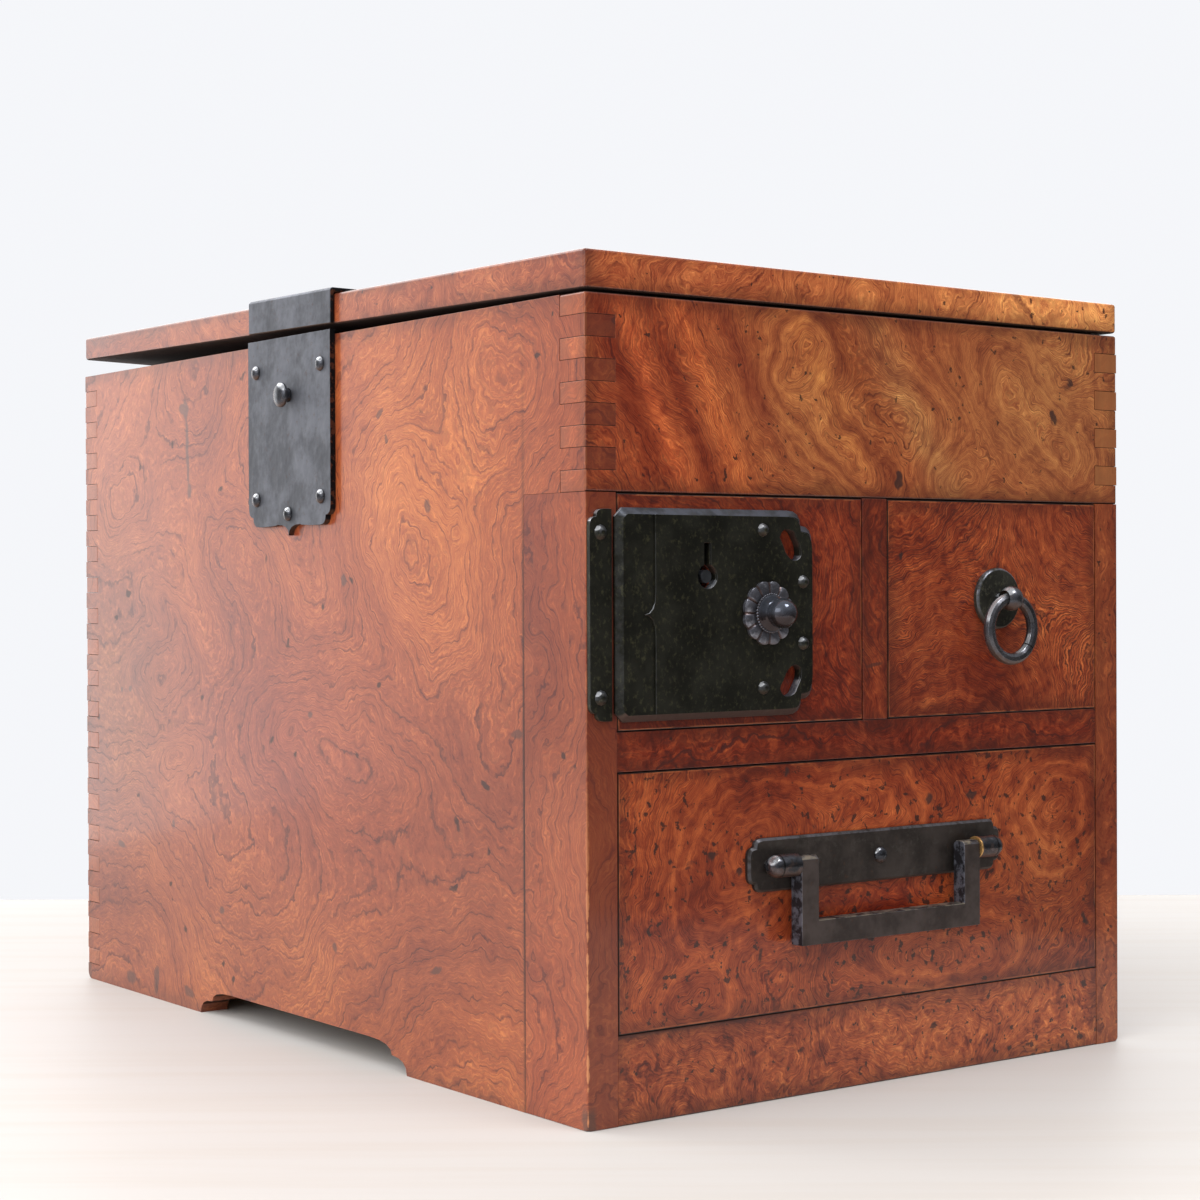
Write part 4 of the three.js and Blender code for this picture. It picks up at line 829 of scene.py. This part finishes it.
rosette_low, rosette_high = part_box("lock_rosette")
hub = (rosette_low + rosette_high) / 2
rosette_radius = (rosette_high.z - rosette_low.z) / 2
petals = 12
petal_steps = 10
rim_rise = 0.55 * MM
dome_rise = 0.8 * MM
flute_rise = 0.85 * MM
notch = 0.75 * MM
flute_share, dome_share, dome_reach = 0.5, 0.55, 0.47
rib_spread, rib_width, rib_height = 0.72, 0.14, 0.25
shares = (0.24, 0.52, 0.58, 0.64, 0.71, 0.78, 0.85, 0.91, 0.96, 0.99, 1.0)
outline = [(share * rosette_radius, rosette_low.y) for share in shares]
form = turn_about(outline + [(rosette_radius, rosette_high.y)], hub, petals * petal_steps)
for vertex in form.verts:
    x, z = vertex.co.x - hub.x, vertex.co.z - hub.z
    share = math.hypot(x, z) / rosette_radius
    spread = abs(math.sin(petals * math.atan2(z, x) / 2))
    dome = math.sqrt(max(0.0, 1 - (max(0.0, share - dome_share) / dome_reach) ** 2))
    ridge = spread ** 0.5 - rib_height * max(0.0, 1 - abs(spread - rib_spread) / rib_width)
    flute = ridge * min(1.0, max(0.0, (share - flute_share) * 4))
    if vertex.co.y < hub.y:
        rise = rim_rise + dome_rise * dome + flute_rise * flute * (0.35 + 0.65 * dome)
        vertex.co.y = rosette_high.y - rise
    pull = 1 - (1 - spread) * notch / rosette_radius
    vertex.co.x, vertex.co.z = hub.x + x * pull, hub.z + z * pull


def grooved(iron):
    x, y, z = iron.axes(iron.place)
    turn = (z - hub.z).math("ARCTAN2", x - hub.x)
    between = (turn * (petals / 2)).math("SINE")
    iron.over((between * between).fade(0.16, 0.0) * 0.8, (0.06, 0.03, 0.022))


rosette_iron = dict(base=(0.085, 0.085, 0.10), rub=(0.50, 0.52, 0.58), gloss=0.22, hammered=0.4,
                    rust=0.8, bare=0.5)
rosette_surface = black_iron("rosette_iron", more=grooved, **rosette_iron)
add_piece("petalled_rosette", form, "left_drawer", "worn_iron", rosette_surface, "lock_rosette")

# Knob: a turned ball on a flared collar, with its stem through the drawer front. Its lower half is
# painted dark brown as the shade on it, with a rusty patch on its right.
knob_low, knob_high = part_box("lock_knob")
collar_radius = (knob_high.z - knob_low.z) / 2
collar_y = rosette_low.y
stem_radius = 3.0 * MM
ball_radius = 5.5 * MM
ball_y = knob_low.y + ball_radius
ball_steps = 12
neck_angle, ball_turn = -44, 134
knob_steps = 40
profile = [(0.0, knob_high.y), (stem_radius, knob_high.y), (stem_radius, collar_y),
           (collar_radius, collar_y), (collar_radius, collar_y - 0.9 * MM),
           (0.9 * collar_radius, collar_y - 1.3 * MM), (4.6 * MM, collar_y - 1.5 * MM),
           (3.9 * MM, collar_y - 2.2 * MM)]
for i in range(ball_steps + 1):
    angle = math.radians(neck_angle + ball_turn * i / ball_steps)
    profile.append((ball_radius * math.cos(angle), ball_y - ball_radius * math.sin(angle)))


def shade_below_rust_right(iron):
    x, y, z = iron.axes(iron.place)
    blotch = iron.noise(iron.place, 260, 2, 0.6) - 0.5
    lower = (z - hub.z + blotch * 0.003).fade(0.0018, -0.0020)
    patch = (x - hub.x + (z - hub.z) * 0.4 + blotch * 0.004).fade(0.0036, 0.0052)
    # painted shade: the lower half darkened
    iron.over(lower * 0.9, (0.035, 0.022, 0.019))
    iron.over(patch * 0.8, (0.35, 0.13, 0.05))


knob_surface = black_iron("knob_iron", base=(0.08, 0.088, 0.11), rub=(0.26, 0.28, 0.34), gloss=0.03,
                          hammered=0.2, rust=0.3, bare=0.0, mottle=0.2, more=shade_below_rust_right)
form = turn_about(profile, hub, knob_steps)
add_piece("turned_knob", form, "left_drawer", "worn_iron", knob_surface, "lock_knob")

# Beads: forty small round beads of the same iron, raised out of the rosette's sheet in a circle
# round the foot of the knob's collar.
beads = 40
bead_radius = 0.5 * MM
bead_circle = 1.03 * collar_radius
bead_y = collar_y - 0.35 * MM
form = bmesh.new()
for i in range(beads):
    turn = 2 * math.pi * i / beads
    place = Vector((hub.x + bead_circle * math.cos(turn), bead_y, hub.z + bead_circle * math.sin(turn)))
    bmesh.ops.create_uvsphere(form, u_segments=8, v_segments=5, radius=bead_radius,
                              matrix=Matrix.Translation(place))
bead_surface = black_iron("bead_iron", **rosette_iron)
add_piece("collar_beads", form, "left_drawer", "worn_iron", bead_surface)

# Ring pull: a disc on the right drawer, and a ring bent from a rod whose ends meet at its lower
# right, in a dark butt joint.
disc_easing = 0.3 * MM
disc_iron = dict(plate_black, base=(0.035, 0.034, 0.028), rub=(0.20, 0.19, 0.13), bare=0.9)
worn_copy("ring_disc", "right_drawer", "black_iron", black_iron("iron_ring_disc", **disc_iron),
          disc_easing)
ring_low, ring_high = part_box("pull_ring")
ring_middle = (ring_low + ring_high) / 2
seam_lean = math.radians(-38)
seam_black = (0.01, 0.008, 0.007)


def seamed(iron):
    x, y, z = iron.axes(iron.place)
    off = (x - ring_middle.x) * -math.sin(seam_lean) + (z - ring_middle.z) * math.cos(seam_lean)
    seam = (off * off).fade(1.2e-7, 2e-8) * (x - ring_middle.x).fade(0.0, 0.002)
    iron.over(seam * 0.9, seam_black)


ring_iron = dict(rubbed_glinting_iron, base=(0.05, 0.048, 0.052), more=seamed)
worn_copy("pull_ring", "ring", "worn_iron", black_iron("ring_iron", **ring_iron), small_easing)
